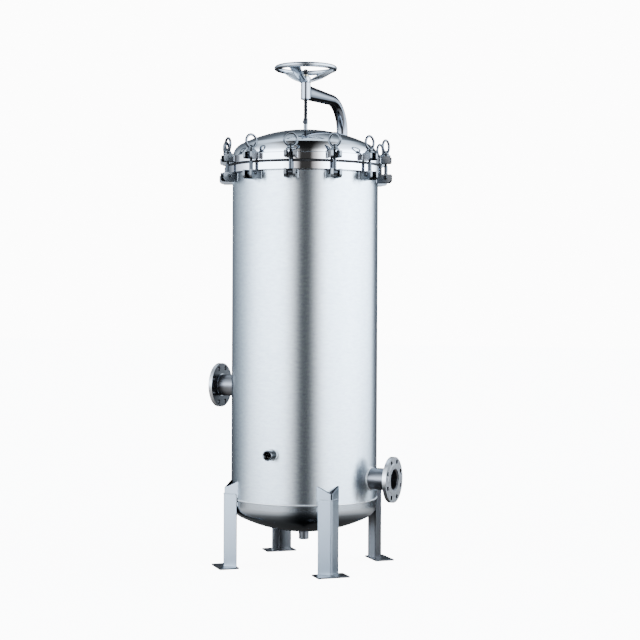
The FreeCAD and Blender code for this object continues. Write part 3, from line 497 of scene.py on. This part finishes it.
def head_profile(radius, offset):
    """Torispherical section from the pole to the tangent line at height 0: crown arc of 2R, knuckle arc of 0.2R."""
    crown_r, knuckle_r = 2 * radius, 0.2 * radius
    crown, knuckle = crown_r - offset, knuckle_r - offset
    centre = radius - knuckle_r
    depth = math.sqrt((crown_r - knuckle_r) ** 2 - centre ** 2)
    lean = math.atan2(centre, depth)
    a = np.linspace(0.0005, lean, 48)
    b = np.linspace(lean, math.pi / 2, 25)[1:]
    top = np.stack([crown * np.sin(a), crown * np.cos(a) - depth], axis=1)
    bend = np.stack([centre + knuckle * np.sin(b), knuckle * np.cos(b)], axis=1)
    return np.concatenate([top, bend])


def bead(centres, outward, along, width, height):
    """Weld bead on a path: at each centre a flat oval section, with ripples of 2 mm along its length.

    height(s) = height (1 + 0.12 sin(2 pi s / 2 mm)), s being the length run along the path.
    """
    ripple, ripple_mm = 0.12, 2.0
    run = np.cumsum(np.linalg.norm(np.diff(centres, axis=0, prepend=centres[:1]), axis=1))
    across = np.cross(along, outward)
    across = across / np.linalg.norm(across, axis=1)[:, None]
    tall = height * (1 + ripple * np.sin(2 * math.pi * run / ripple_mm))
    angle = np.linspace(0, 2 * math.pi, 12, endpoint=False)
    return (centres[:, None, :] + across[:, None, :] * (width / 2 * np.cos(angle))[None, :, None]
            + outward[:, None, :] * (np.sin(angle)[None, :] * tall[:, None])[:, :, None])


def round_bead(radius, z, width, height):
    """A bead on the circle (r cos a, r sin a, z) right round the vessel, closed on itself."""
    angle = np.linspace(0, 2 * math.pi, 1440, endpoint=False)
    outward = np.stack([np.cos(angle), np.sin(angle), 0 * angle], axis=1)
    along = np.stack([-np.sin(angle), np.cos(angle), 0 * angle], axis=1)
    return loft(bead(outward * radius + [0, 0, z], outward, along, width, height), ring=True)


def straight_bead(start, end, outward, width, height):
    """A bead along the line between two points, with a section every 0.5 mm."""
    start, end = np.array(start, dtype=float), np.array(end, dtype=float)
    count = max(8, int(np.linalg.norm(end - start) / 0.5))
    centres = start + (end - start) * np.linspace(0, 1, count)[:, None]
    along = np.repeat([(end - start) / np.linalg.norm(end - start)], count, axis=0)
    facing = np.repeat([np.array(outward, dtype=float)], count, axis=0)
    return loft(bead(centres, facing, along, width, height))


def saddle_bead(axis, centre_z, pipe_r, wall_r, width, height):
    """A bead where a pipe meets the shell: x = sqrt(R^2 - y^2), y = r cos t, z = r sin t, turned to the pipe's axis."""
    angle = np.linspace(0, 2 * math.pi, 360, endpoint=False)
    y, z = pipe_r * np.cos(angle), pipe_r * np.sin(angle)
    out = np.sqrt(wall_r ** 2 - y ** 2)
    centres = np.stack([out, y, z], axis=1)
    facing = np.stack([0 * y + 0.7, np.cos(angle), np.sin(angle)], axis=1)
    facing = facing / np.linalg.norm(facing, axis=1)[:, None]
    along = np.roll(centres, -1, axis=0) - np.roll(centres, 1, axis=0)
    along = along / np.linalg.norm(along, axis=1)[:, None]
    shape = loft(bead(centres, facing, along, width, height), ring=True)
    return moved(shape, [axis, np.cross([0, 0, 1], axis), [0, 0, 1]], [0, 0, centre_z])


def threaded(radius, depth, pitch, z0, z1, cols):
    """Threaded bar: r(z, a) = radius - depth * |2 frac(z / pitch - a / 2 pi) - 1|, faded out at both ends."""
    z = np.arange(z0, z1, pitch / 8)
    angle = np.linspace(0, 2 * math.pi, cols, endpoint=False)
    phase = (z[:, None] / pitch - angle[None, :] / (2 * math.pi)) % 1.0
    fade = np.clip(np.minimum(z - z0, z1 - z) / pitch, 0, 1)[:, None]
    r = radius - depth * np.abs(2 * phase - 1) * fade - depth * (1 - fade) * 0.5
    return loft(np.stack([r * np.cos(angle), r * np.sin(angle), z[:, None] + 0 * r], axis=-1))


def torus(major, minor, z, cols, rows):
    """A round ring about Z: ((R + q cos v) cos u, (R + q cos v) sin u, z + q sin v)."""
    u = np.linspace(0, 2 * math.pi, cols, endpoint=False)[:, None]
    v = np.linspace(0, 2 * math.pi, rows, endpoint=False)[None, :]
    r = major + minor * np.cos(v)
    return loft(np.stack([r * np.cos(u), r * np.sin(u), z + minor * np.sin(v) + 0 * u], axis=-1), ring=True)


def build_shell():
    """Barrel with its two long walls, bottom head, and the bead of the girth weld between them.

    The barrel is a closed section of two upright lines turned about Z, in rows that are close together where the
    pipes enter, and its quads are left out inside the pipes' bores. The head is its section turned about Z.
    """
    low, high = box_mm("shell_barrel")
    outer, seam, top = high[0], low[2], high[2]
    outlet_top, inlet_low, inlet_top, close, wide = 500, 660, 790, 5.0, 20.0
    rows = np.concatenate([np.arange(seam, outlet_top, close), np.arange(outlet_top, inlet_low, wide),
                           np.arange(inlet_low, inlet_top, close), np.linspace(inlet_top, top, 24)])
    outside = np.stack([np.full(len(rows), outer), rows], axis=1)
    profile = np.concatenate([outside, outside[::-1] - [SHELL_WALL, 0]])
    points, faces = loft(spin_loops(profile, 400), ring=True)
    pipe_bore, socket_bore = 0.91, 0.75
    bores = [((1, 0), box_mm("outlet_pipe"), pipe_bore), ((-1, 0), box_mm("inlet_pipe"), pipe_bore),
             ((0, -1), box_mm("side_drain_socket"), socket_bore)]
    index = np.array(faces)
    middle = points[index].mean(axis=1)
    keep = np.ones(len(index), dtype=bool)
    for heading, (pipe_low, pipe_high), share in bores:
        radius = (pipe_high[2] - pipe_low[2]) / 2 * share
        height = (pipe_high[2] + pipe_low[2]) / 2
        side = middle[:, 0] * heading[1] - middle[:, 1] * heading[0]
        facing = middle[:, 0] * heading[0] + middle[:, 1] * heading[1] > 0
        keep &= ~(facing & (side ** 2 + (middle[:, 2] - height) ** 2 < radius ** 2))
    new_piece("barrel_skin", [(points, index[keep].tolist())], "satin_shell", "vessel", "shell_barrel")

    skin = head_profile(outer, 0)
    lining = head_profile(outer, SHELL_WALL)
    section = np.concatenate([skin, [[outer, -HEAD_SKIRT], [outer - SHELL_WALL, -HEAD_SKIRT]], lining[::-1]])
    section[:, 1] = seam - HEAD_SKIRT - section[:, 1]
    drain_r = 16.15
    section = section[(section[:, 0] > drain_r) | (section[:, 0] < 0)]
    new_piece("bottom_head_skin", [loft(spin_loops(section, 512), ring=True)], "bottom_satin", "vessel", "bottom_head")
    new_piece("girth_weld", [round_bead(outer, seam, 6.5, 1.6)], "bright_weld", "vessel")
    new_piece("flange_weld", [round_bead(outer, top - 0.5, 4.0, 1.6)], "weld_steel", "vessel")


def build_rings():
    """Body flange, gasket and lid ring with broken edges, and the domed lid, all sections turned about Z."""
    low, high = box_mm("body_flange")
    outer, inner = high[0], box_mm("shell_barrel")[1][0] - SHELL_WALL
    new_piece("body_flange_ring", [spun_ring([(inner, low[2]), (outer, low[2], 2.0), (outer, high[2], 1.2),
              (inner, high[2])], 0.6, 512)], "polished_ring", "vessel", "body_flange")
    gasket_low, gasket_high = box_mm("flange_gasket")
    rim, hole = gasket_high[0], gasket_high[0] - 12
    new_piece("gasket_ring", [spun_ring([(hole, gasket_low[2]), (rim, gasket_low[2]), (rim, gasket_high[2]),
              (hole, gasket_high[2])], 1.5, 360)], "gasket_rubber", "vessel", "flange_gasket")
    low, high = box_mm("lid_ring")
    new_piece("lid_ring_band", [spun_ring([(inner, low[2]), (outer, low[2], 1.2), (outer, high[2], 2.0),
              (inner, high[2])], 0.6, 512)], "polished_ring", "lid", "lid_ring")
    dome_low, dome_high = box_mm("lid_dome")
    dome_r = round(dome_high[0])
    skirt = 2.5
    rim = 0.1 - skirt
    skin = head_profile(dome_r, 0)
    lining = head_profile(dome_r, SHELL_WALL)
    section = np.concatenate([skin, [[dome_r, rim], [dome_r - SHELL_WALL, rim]], lining[::-1]])
    section[:, 1] += dome_low[2] + skirt
    new_piece("dome_skin", [loft(spin_loops(section, 512), ring=True)], "mirror_dome", "lid", "lid_dome")
    new_piece("dome_weld", [round_bead(dome_r + 0.2, high[2] + 0.6, 3.5, 1.4)], "weld_steel", "lid")


def eye_nut_shape(turn, foot_z):
    """Cast ring nut about Z: flat foot, waisted hub and a round ring that stands on it, turned by some degrees.

    The foot and hub are a profile turned about Z. The ring is a torus stood upright, whose wire widens towards its
    foot by 55 % times the square of the way down.
    """
    hub = rounded([(0.5, foot_z, 0), (20, foot_z, 1.0), (20, foot_z + 4.2, 1.6), (13.6, foot_z + 8.5, 3.0),
                   (12.6, foot_z + 15.5, 4.0), (0.5, foot_z + 17.5, 0)], 1.0)[1:-1]
    ring_z, wire, major = foot_z + 40.5, 5.4, 25.6
    points, faces = torus(major, wire, 0.0, 72, 20)
    upright = np.stack([points[:, 0], -points[:, 2], points[:, 1]], axis=1)
    saddle_from, saddle_run, swell = 10, 18, 0.55
    saddle = np.clip((-upright[:, 2] - saddle_from) / saddle_run, 0, 1) ** 2
    upright[:, 1] *= 1 + swell * saddle
    upright[:, 2] += ring_z
    nut = [spun_bar(hub, 48), (upright, faces)]
    return [turn_about(part, turn) for part in nut]


def swing_bolt_shape(pivot_z, tip_z):
    """Eye bolt: a flat eye on the pivot pin, a plain shank and a threaded end, each a profile turned about its axis."""
    hole_r, half = 6.1, 9.0
    shank_r, shank_top, root_r = 7.95, 1634.0, 6.0
    eye = rounded([(hole_r, -half, 0.6), (EYE_R, -half, 1.2), (EYE_R, half, 1.2), (hole_r, half, 0.6)], 0.6)
    ring = moved(loft(spin_loops(eye, 64), ring=True), [[1, 0, 0], [0, 0, 1], [0, -1, 0]], [0, 0, pivot_z])
    shank = spun_bar([(shank_r, pivot_z + 11), (shank_r, shank_top - 1.2), (root_r, shank_top)], 40)
    return [ring, shank, threaded(root_r, 0.9, 1.75, shank_top - 1.0, tip_z, 24)]


def build_clamps():
    """Twelve ring nuts, swing bolts and headed pivot pins, at equal steps round the vessel."""
    pins = []
    for number, nut_turn in enumerate(NUT_TURNS_DEG, 1):
        degrees = CLAMP_FIRST_DEG + CLAMP_STEP_DEG * (number - 1)
        nut_low, _ = box_mm("eye_nut_%02d" % number)
        bolt_low, bolt_high = box_mm("swing_bolt_%02d" % number)
        pivot_z = bolt_low[2] + EYE_R
        nut = [station(part, degrees, CLAMP_R) for part in eye_nut_shape(nut_turn, nut_low[2])]
        new_piece("ring_nut_%02d" % number, nut, "nut_steel", "eye_nut_%02d" % number, "eye_nut_%02d" % number)
        bolt = [station(part, degrees, CLAMP_R) for part in swing_bolt_shape(pivot_z, bolt_high[2])]
        new_piece("eye_bolt_%02d" % number, bolt, "bolt_steel", "swing_bolt_%02d" % number, "swing_bolt_%02d" % number)
        headed = [(5.0, 28.4), (5.95, 27.6), (5.95, -23.4), (8.5, -23.5), (8.5, -26.3), (7.4, -27.4)]
        pin = moved(spun_bar(headed, 40), [[1, 0, 0], [0, 0, 1], [0, 1, 0]], [0, 0, pivot_z])
        pins.append(station(pin, degrees, CLAMP_R))
    new_piece("pivot_pin_set", pins, "bolt_steel", "vessel", "pivot_pins")


def build_wheel():
    """Cast handwheel: round rim, three dished spokes that widen into the rim, and a turned hub.

    A spoke runs along r. Its height and its half width are parabolas through three (r, value) points, its section is
    a superellipse across the way it slopes, and its edges droop by sin(pi r') from the hub to the rim.
    """
    low, high = box_mm("handwheel")
    base, outer = low[2], high[0]
    rim_r, bore_r, hub_r, hub_tall, spoke_thick = 10.5, 14.05, 20.5, 24, 5.5
    major = round(outer) - rim_r
    rim_z = high[2] - rim_r
    hub = spun_ring([(bore_r, base), (hub_r, base, 1.5), (hub_r, base + hub_tall, 2.5),
                     (bore_r, base + hub_tall, 0.8)], 0.5, 96)
    shapes = [torus(major, rim_r, rim_z, 192, 32), hub]
    start, bend, waist_from, end = 15.5, hub_r + (major - hub_r) * 0.3, hub_r / 2, major
    waist = waist_from + (major - waist_from) * 0.45
    heights = np.polyfit([start, bend, end], [base + 4, base + (rim_z - base) * 0.4 + 4, rim_z - 4], 2)
    widths = np.polyfit([waist_from, waist, major], [17.0, 16.0, 27.0], 2)
    r = np.linspace(start, end - 1.0, 48)
    z = np.polyval(heights, r)
    half = np.polyval(widths, r)
    slope = np.polyval(np.polyder(heights), r)
    angle = np.linspace(0, 2 * math.pi, 32, endpoint=False)
    flat = np.sign(np.cos(angle)) * np.abs(np.cos(angle)) ** 0.3
    thick = np.sign(np.sin(angle)) * np.abs(np.sin(angle)) ** 0.55 * spoke_thick
    lean = 1 / np.sqrt(1 + slope ** 2)
    x = r[:, None] - thick[None, :] * (slope * lean)[:, None]
    y = half[:, None] * flat[None, :]
    droop = SPOKE_DROOP * np.sin(math.pi * (r - start) / (end - start))[:, None] * (flat ** 2)[None, :]
    up = z[:, None] + thick[None, :] * lean[:, None] - droop
    spoke = loft(np.stack([x, y, up], axis=-1))
    shapes += [turn_about(spoke, SPOKE_FIRST_DEG + 120.0 * k) for k in range(3)]
    new_piece("cast_wheel", shapes, "cast_steel", "handwheel", "handwheel")


def build_davit():
    """Davit pipe that deepens towards its sleeve, the sleeve, the screw spindle and the ball on its end.

    The pipe is an ellipse carried up the post, round a quarter bend and along the arm. On the arm its half height
    grows and its half width shrinks in step with the way run, until it is as wide as the sleeve.
    """
    low, high = box_mm("davit_arm")
    sleeve_low, sleeve_high = box_mm("spindle_sleeve")
    pipe_r, bend_r, arm_up, arm_end = 24.15, 128.0, 31.0, 12.0
    taper_from, taper_run, deeper, raised, sleeve_wide = 235.0, 215.0, 7.5, 0.5, 20.3
    post_y, arm_z = high[1] - pipe_r, sleeve_low[2] + arm_up
    post = [(post_y, z, 0.0) for z in np.linspace(low[2], arm_z - bend_r, 6)]
    quarter = [(post_y - bend_r + bend_r * math.cos(a), arm_z - bend_r + bend_r * math.sin(a), a)
               for a in np.linspace(0, math.pi / 2, 40)[1:]]
    arm = [(y, arm_z, math.pi / 2) for y in np.linspace(post_y - bend_r, arm_end, 60)[1:]]
    path = np.array(post + quarter + arm)
    on_arm = path[:, 2] > 1.57
    share = np.where(on_arm, np.clip((taper_from - path[:, 0]) / taper_run, 0, 1), 0.0)
    tall = pipe_r + deeper * share
    lift = raised * share
    wide = pipe_r + (sleeve_wide - pipe_r) * share
    angle = np.linspace(0, 2 * math.pi, 64, endpoint=False)
    out = np.cos(angle)[None, :] * tall[:, None] + lift[:, None]
    side = np.sin(angle)[None, :] * wide[:, None]
    turn = path[:, 2][:, None]
    y = path[:, 0][:, None] + out * np.cos(turn)
    z = path[:, 1][:, None] + out * np.sin(turn)
    new_piece("davit_pipe", [loft(np.stack([side, y, z], axis=-1))], "davit_steel", "vessel", "davit_arm")
    bottom, top = sleeve_low[2], sleeve_high[2]
    new_piece("sleeve", [spun_ring([(8.5, bottom, 0.5), (18.0, bottom, 0.6), (20.5, bottom + 4, 1.0),
              (20.5, top - 1, 0.8), (8.5, top - 0.02, 0.5)], 0.6, 128)], "polished_pipe", "vessel", "spindle_sleeve")
    bar_low, bar_high = box_mm("spindle")
    new_piece("screw_spindle", [threaded(8.0, 1.1, 4.0, bar_low[2], bar_high[2] - 8.0, 40),
              spun_bar([(3.9, bar_high[2] - 9), (3.9, bar_high[2])], 24)], "spindle_steel", "lid", "spindle")
    cap_low, cap_high = box_mm("spindle_cap")
    lean = np.linspace(math.radians(125), 0.02, 32)
    ball_r = (cap_high[0] - cap_low[0]) / 2 + 0.05
    ball = np.stack([ball_r * np.sin(lean), cap_high[2] - ball_r + ball_r * np.cos(lean)], axis=1)
    new_piece("ball_end", [loft(spin_loops(ball, 48))], "black_knob", "lid", "spindle_cap")


def leg_lap_path(side):
    """Where one flange of a leg ends on its pad: along its top, round an arc at its corner, and down its edge."""
    top, low, flange, corner, heel_r, lap = 299.0, 252.0, 62.0, 10.0, 346.0, 1.6
    turn = np.linspace(math.pi / 2, 0, 9)
    along = np.concatenate([np.linspace(3, flange - corner, 30), flange - corner + corner * np.cos(turn[1:]),
                            np.full(24, flange)])
    height = np.concatenate([np.full(30, top), top - corner + corner * np.sin(turn[1:]),
                             np.linspace(top - corner, low, 25)[1:]])
    share = math.sqrt(0.5)
    return np.stack([heel_r - along * share - lap * share, side * (along * share - lap * share), height], axis=1)


def leg_lap_bead(side):
    """Fillet weld between a leg's flange and its pad."""
    centres = leg_lap_path(side)
    along = np.gradient(centres, axis=0)
    along = along / np.linalg.norm(along, axis=1)[:, None]
    share = math.sqrt(0.5)
    outward = np.repeat([[share, side * share, 0.0]], len(centres), axis=0)
    return loft(bead(centres, outward, along, 4.5, 2.2))


def build_leg_welds():
    """Lap welds of the four legs."""
    for number in range(4):
        beads = [turn_about(leg_lap_bead(side), LEG_FIRST_DEG + 90.0 * number) for side in (-1, 1)]
        new_piece("leg_lap_weld_%d" % (number + 1), beads, "leg_weld_steel", "vessel")


def build_welds():
    """Saddle welds of the nozzles and the side drain, and the upright welds of the lugs."""
    pipe_r, socket_r = 44.9, 21.3
    outlet, inlet, drain = box_mm("outlet_pipe"), box_mm("inlet_pipe"), box_mm("side_drain_socket")
    saddles = [saddle_bead([1, 0, 0], (outlet[0][2] + outlet[1][2]) / 2, pipe_r, SHELL_R, 8.0, 3.0),
               saddle_bead([-1, 0, 0], (inlet[0][2] + inlet[1][2]) / 2, pipe_r, SHELL_R, 8.0, 3.0),
               saddle_bead([0, -1, 0], (drain[0][2] + drain[1][2]) / 2, socket_r, SHELL_R, 6.0, 2.4)]
    new_piece("nozzle_welds", saddles, "bright_weld", "vessel")
    ring_r, wide, tall = 316.0, 3.0, 1.2
    lower_from, lower_to = box_mm("lower_lugs")[0][2] + 1, box_mm("lower_lugs")[1][2] - 1
    upper_from, upper_to = box_mm("upper_lugs")[0][2] + 1, box_mm("upper_lugs")[0][2] + 23
    lower, upper = [], []
    for number in range(len(NUT_TURNS_DEG)):
        degrees = CLAMP_FIRST_DEG + CLAMP_STEP_DEG * number
        for side, lean in ((-23.5, -0.5), (-13.5, 0.5), (13.5, -0.5), (23.5, 0.5)):
            facing = [0.8, lean, 0]
            out = math.sqrt(SHELL_R ** 2 - side ** 2)
            joint = straight_bead([out, side, lower_from], [out, side, lower_to], facing, wide, tall)
            lower.append(turn_about(joint, degrees))
            out = math.sqrt(ring_r ** 2 - side ** 2)
            joint = straight_bead([out, side, upper_from], [out, side, upper_to], facing, wide, tall)
            upper.append(turn_about(joint, degrees))
    new_piece("lower_lug_welds", lower, "weld_steel", "vessel")
    new_piece("upper_lug_welds", upper, "weld_steel", "lid")


def grey_along(tree, measure, reach, stops, span):
    """Grey that follows a measure running from -reach to reach, with its stops given over -span to span."""
    share = add_node(tree, "ShaderNodeMapRange", {"From Min": -reach, "From Max": reach}, {"Value": measure})
    ramp = add_node(tree, "ShaderNodeValToRGB", links={"Fac": share.outputs["Result"]})
    elements = ramp.color_ramp.elements
    while len(elements) > 1:
        elements.remove(elements[-1])
    for index, (at, grey) in enumerate(stops):
        where = at / (2 * span) + 0.5
        element = elements[0] if index == 0 else elements.new(where)
        element.position = where
        element.color = (grey, grey, grey, 1.0)
    return ramp.outputs["Color"]


def studio():
    """White studio in the reflections: bright walls, a dark gap round the camera, darker behind and below.

    light = (walls by azimuth, blended into the ceiling) * grey by height * tint * opening, where the opening is dark
    within the gap round the camera and white elsewhere. The camera itself sees a plain white backdrop.
    """
    world = bpy.data.worlds.new("studio")
    world.use_nodes = True
    bpy.context.scene.world = world
    tree = world.node_tree
    tree.nodes.clear()
    place = add_node(tree, "ShaderNodeTexCoord")
    turn = add_node(tree, "ShaderNodeVectorRotate", {"Axis": (0, 0, 1), "Angle": math.radians(-VIEW_AZIMUTH)},
                    {"Vector": place.outputs["Generated"]}, rotation_type="AXIS_ANGLE")
    axes = add_node(tree, "ShaderNodeSeparateXYZ", links={"Vector": turn.outputs["Vector"]})
    ahead = add_node(tree, "ShaderNodeMath", {1: -1.0}, {0: axes.outputs["Y"]}, operation="MULTIPLY")
    side = add_node(tree, "ShaderNodeMath", links={0: axes.outputs["X"], 1: ahead.outputs["Value"]},
                    operation="ARCTAN2")
    around = grey_along(tree, side.outputs["Value"], math.pi, AROUND_STOPS, 180)
    height = grey_along(tree, axes.outputs["Z"], 1.0, HEIGHT_STOPS, 1)
    behind = add_node(tree, "ShaderNodeMapRange", {"From Min": 0.0, "From Max": -0.7, "To Min": 1.0, "To Max": 1.3},
                      {"Value": ahead.outputs["Value"]})
    lifted = add_node(tree, "ShaderNodeMath", links={0: axes.outputs["Z"], 1: behind.outputs["Result"]},
                      operation="MULTIPLY")
    overhead = grey_along(tree, lifted.outputs["Value"], 1.0, OVERHEAD_STOPS, 1)
    narrow = add_node(tree, "ShaderNodeMapRange", {"From Min": 0.0, "From Max": 1.0, "To Min": 1.0, "To Max": 0.85},
                      {"Value": axes.outputs["Z"]})
    sideways = add_node(tree, "ShaderNodeMath", links={0: axes.outputs["X"], 1: narrow.outputs["Result"]},
                        operation="MULTIPLY")
    gap = grey_along(tree, sideways.outputs["Value"], 1.0, GAP_STOPS, 1)
    front = grey_along(tree, ahead.outputs["Value"], 1.0, FRONT_STOPS, 1)
    walls = add_node(tree, "ShaderNodeMix", {SECOND: CEILING}, {SHARE: overhead, FIRST: around}, **BLEND)
    opening = add_node(tree, "ShaderNodeMix", {FIRST: WHITE}, {SHARE: front, SECOND: gap}, **BLEND)
    tint = add_node(tree, "ShaderNodeMix", {FIRST: GAP_TINT, SECOND: WALL_TINT}, {SHARE: opening.outputs[MIXED]},
                    **BLEND)
    light = walls
    for grey in (height, tint.outputs[MIXED], opening.outputs[MIXED]):
        light = add_node(tree, "ShaderNodeMix", {SHARE: 1.0}, {FIRST: light.outputs[MIXED], SECOND: grey}, **PRODUCT)
    lit = add_node(tree, "ShaderNodeBackground", {"Strength": STUDIO_STRENGTH}, {"Color": light.outputs[MIXED]})
    seen = add_node(tree, "ShaderNodeBackground", {"Color": WHITE, "Strength": BACKDROP_STRENGTH})
    path = add_node(tree, "ShaderNodeLightPath")
    both = add_node(tree, "ShaderNodeMixShader", links={0: path.outputs["Is Camera Ray"],
                    1: lit.outputs["Background"], 2: seen.outputs["Background"]})
    add_node(tree, "ShaderNodeOutputWorld", links={"Surface": both.outputs["Shader"]})


def place_camera():
    """Level camera at the photograph's side, turned so that the vessel's axis and the horizon fall where they are."""
    azimuth = math.radians(VIEW_AZIMUTH)
    spot = np.array([math.sin(azimuth), -math.cos(azimuth), 0.0]) * CAMERA_DISTANCE
    yaw = math.atan((PHOTO_WIDTH / 2 - AXIS_X_PX) / FOCAL_PX)
    heading = math.pi / 2 + azimuth - yaw
    forward = np.array([math.cos(heading), math.sin(heading), 0.0])
    right = np.array([math.sin(heading), -math.cos(heading), 0.0])
    up = np.array([0.0, 0.0, 1.0])
    roll = math.radians(ROLL_DEG)
    right_rolled = right * math.cos(roll) + up * math.sin(roll)
    up_rolled = up * math.cos(roll) - right * math.sin(roll)
    matrix = np.eye(4)
    matrix[:3, 0] = right_rolled
    matrix[:3, 1] = up_rolled
    matrix[:3, 2] = -forward
    matrix[:3, 3] = spot + (0, 0, CAMERA_HEIGHT)
    data = bpy.data.cameras.new("camera")
    data.sensor_width = SENSOR_MM
    data.lens = FOCAL_PX / PHOTO_WIDTH * SENSOR_MM
    data.shift_y = (HORIZON_Y_PX - PHOTO_WIDTH / 2) / PHOTO_WIDTH
    camera = bpy.data.objects.new("camera", data)
    camera.matrix_world = matrix.T.tolist()
    bpy.context.scene.collection.objects.link(camera)
    bpy.context.scene.camera = camera


def place_floor():
    """Plain pale floor, and the darker studio floor that the metal shows instead of it.

    The second one glows by the distance from the vessel's axis and is dark close to it as a painted shadow of the
    vessel; it is dark in the gap on the camera's side, and fades out behind the vessel.
    """
    material, tree = new_material("pale_floor")
    shader = add_node(tree, "ShaderNodeBsdfPrincipled",
                      {"Base Color": colour("#f4f4f4"), "Roughness": 0.9, "Emission Color": WHITE,
                       "Emission Strength": FLOOR_GLOW})
    finish_material(tree, shader)
    mesh = bpy.data.meshes.new("floor")
    corners = [(-FLOOR_HALF, -FLOOR_HALF, 0), (FLOOR_HALF, -FLOOR_HALF, 0), (FLOOR_HALF, FLOOR_HALF, 0),
               (-FLOOR_HALF, FLOOR_HALF, 0)]
    mesh.from_pydata(corners, [], [(0, 1, 2, 3)])
    mesh.materials.append(material)
    floor = bpy.data.objects.new("floor", mesh)
    bpy.context.scene.collection.objects.link(floor)
    floor.visible_glossy = False
    material, tree = new_material("floor_in_the_metal_painted_shadow")
    place = add_node(tree, "ShaderNodeTexCoord")
    far = add_node(tree, "ShaderNodeVectorMath", links={"Vector": place.outputs["Object"]}, operation="LENGTH")
    # Painted shadow: dark close to the vessel's axis, lighter further out
    tone = grey_along(tree, far.outputs["Value"], FLOOR_CARD_R, FLOOR_IN_METAL, FLOOR_CARD_R)
    turn = add_node(tree, "ShaderNodeVectorRotate", {"Axis": (0, 0, 1), "Angle": math.radians(-VIEW_AZIMUTH)},
                    {"Vector": place.outputs["Object"]}, rotation_type="AXIS_ANGLE")
    axes = add_node(tree, "ShaderNodeSeparateXYZ", links={"Vector": turn.outputs["Vector"]})
    sine = add_node(tree, "ShaderNodeMath", links={0: axes.outputs["X"], 1: far.outputs["Value"]}, operation="DIVIDE")
    gap = grey_along(tree, sine.outputs["Value"], 1.0, GAP_STOPS, 1)
    before = add_node(tree, "ShaderNodeMath", {1: 0.0}, {0: axes.outputs["Y"]}, operation="LESS_THAN")
    open_side = add_node(tree, "ShaderNodeMix", links={SHARE: before.outputs["Value"], FIRST: tone, SECOND: gap},
                         **PRODUCT)
    after = add_node(tree, "ShaderNodeMapRange", {"From Min": 0.0, "From Max": 0.9, "To Min": 1.0, "To Max": 0.03},
                     {"Value": axes.outputs["Y"]})
    shown = add_node(tree, "ShaderNodeMix", {SHARE: 1.0},
                     {FIRST: open_side.outputs[MIXED], SECOND: after.outputs["Result"]}, **PRODUCT)
    glow = add_node(tree, "ShaderNodeEmission", {"Strength": 1.0}, {"Color": shown.outputs[MIXED]})
    add_node(tree, "ShaderNodeOutputMaterial", links={"Surface": glow.outputs["Emission"]})
    angle = np.linspace(0, 2 * math.pi, 96, endpoint=False)
    rim = np.stack([FLOOR_CARD_R * np.cos(angle), FLOOR_CARD_R * np.sin(angle), 0 * angle - FLOOR_CARD_LOW], axis=1)
    mesh = bpy.data.meshes.new("floor_card")
    mesh.from_pydata(rim.tolist(), [], [list(range(len(rim)))])
    mesh.materials.append(material)
    card = bpy.data.objects.new("floor_card", mesh)
    bpy.context.scene.collection.objects.link(card)
    card.visible_camera = False
    card.visible_diffuse = False
    card.visible_shadow = False


dress_nodes()
build_shell()
build_rings()
build_clamps()
build_wheel()
build_davit()
build_welds()
build_leg_welds()
studio()
place_floor()
place_camera()
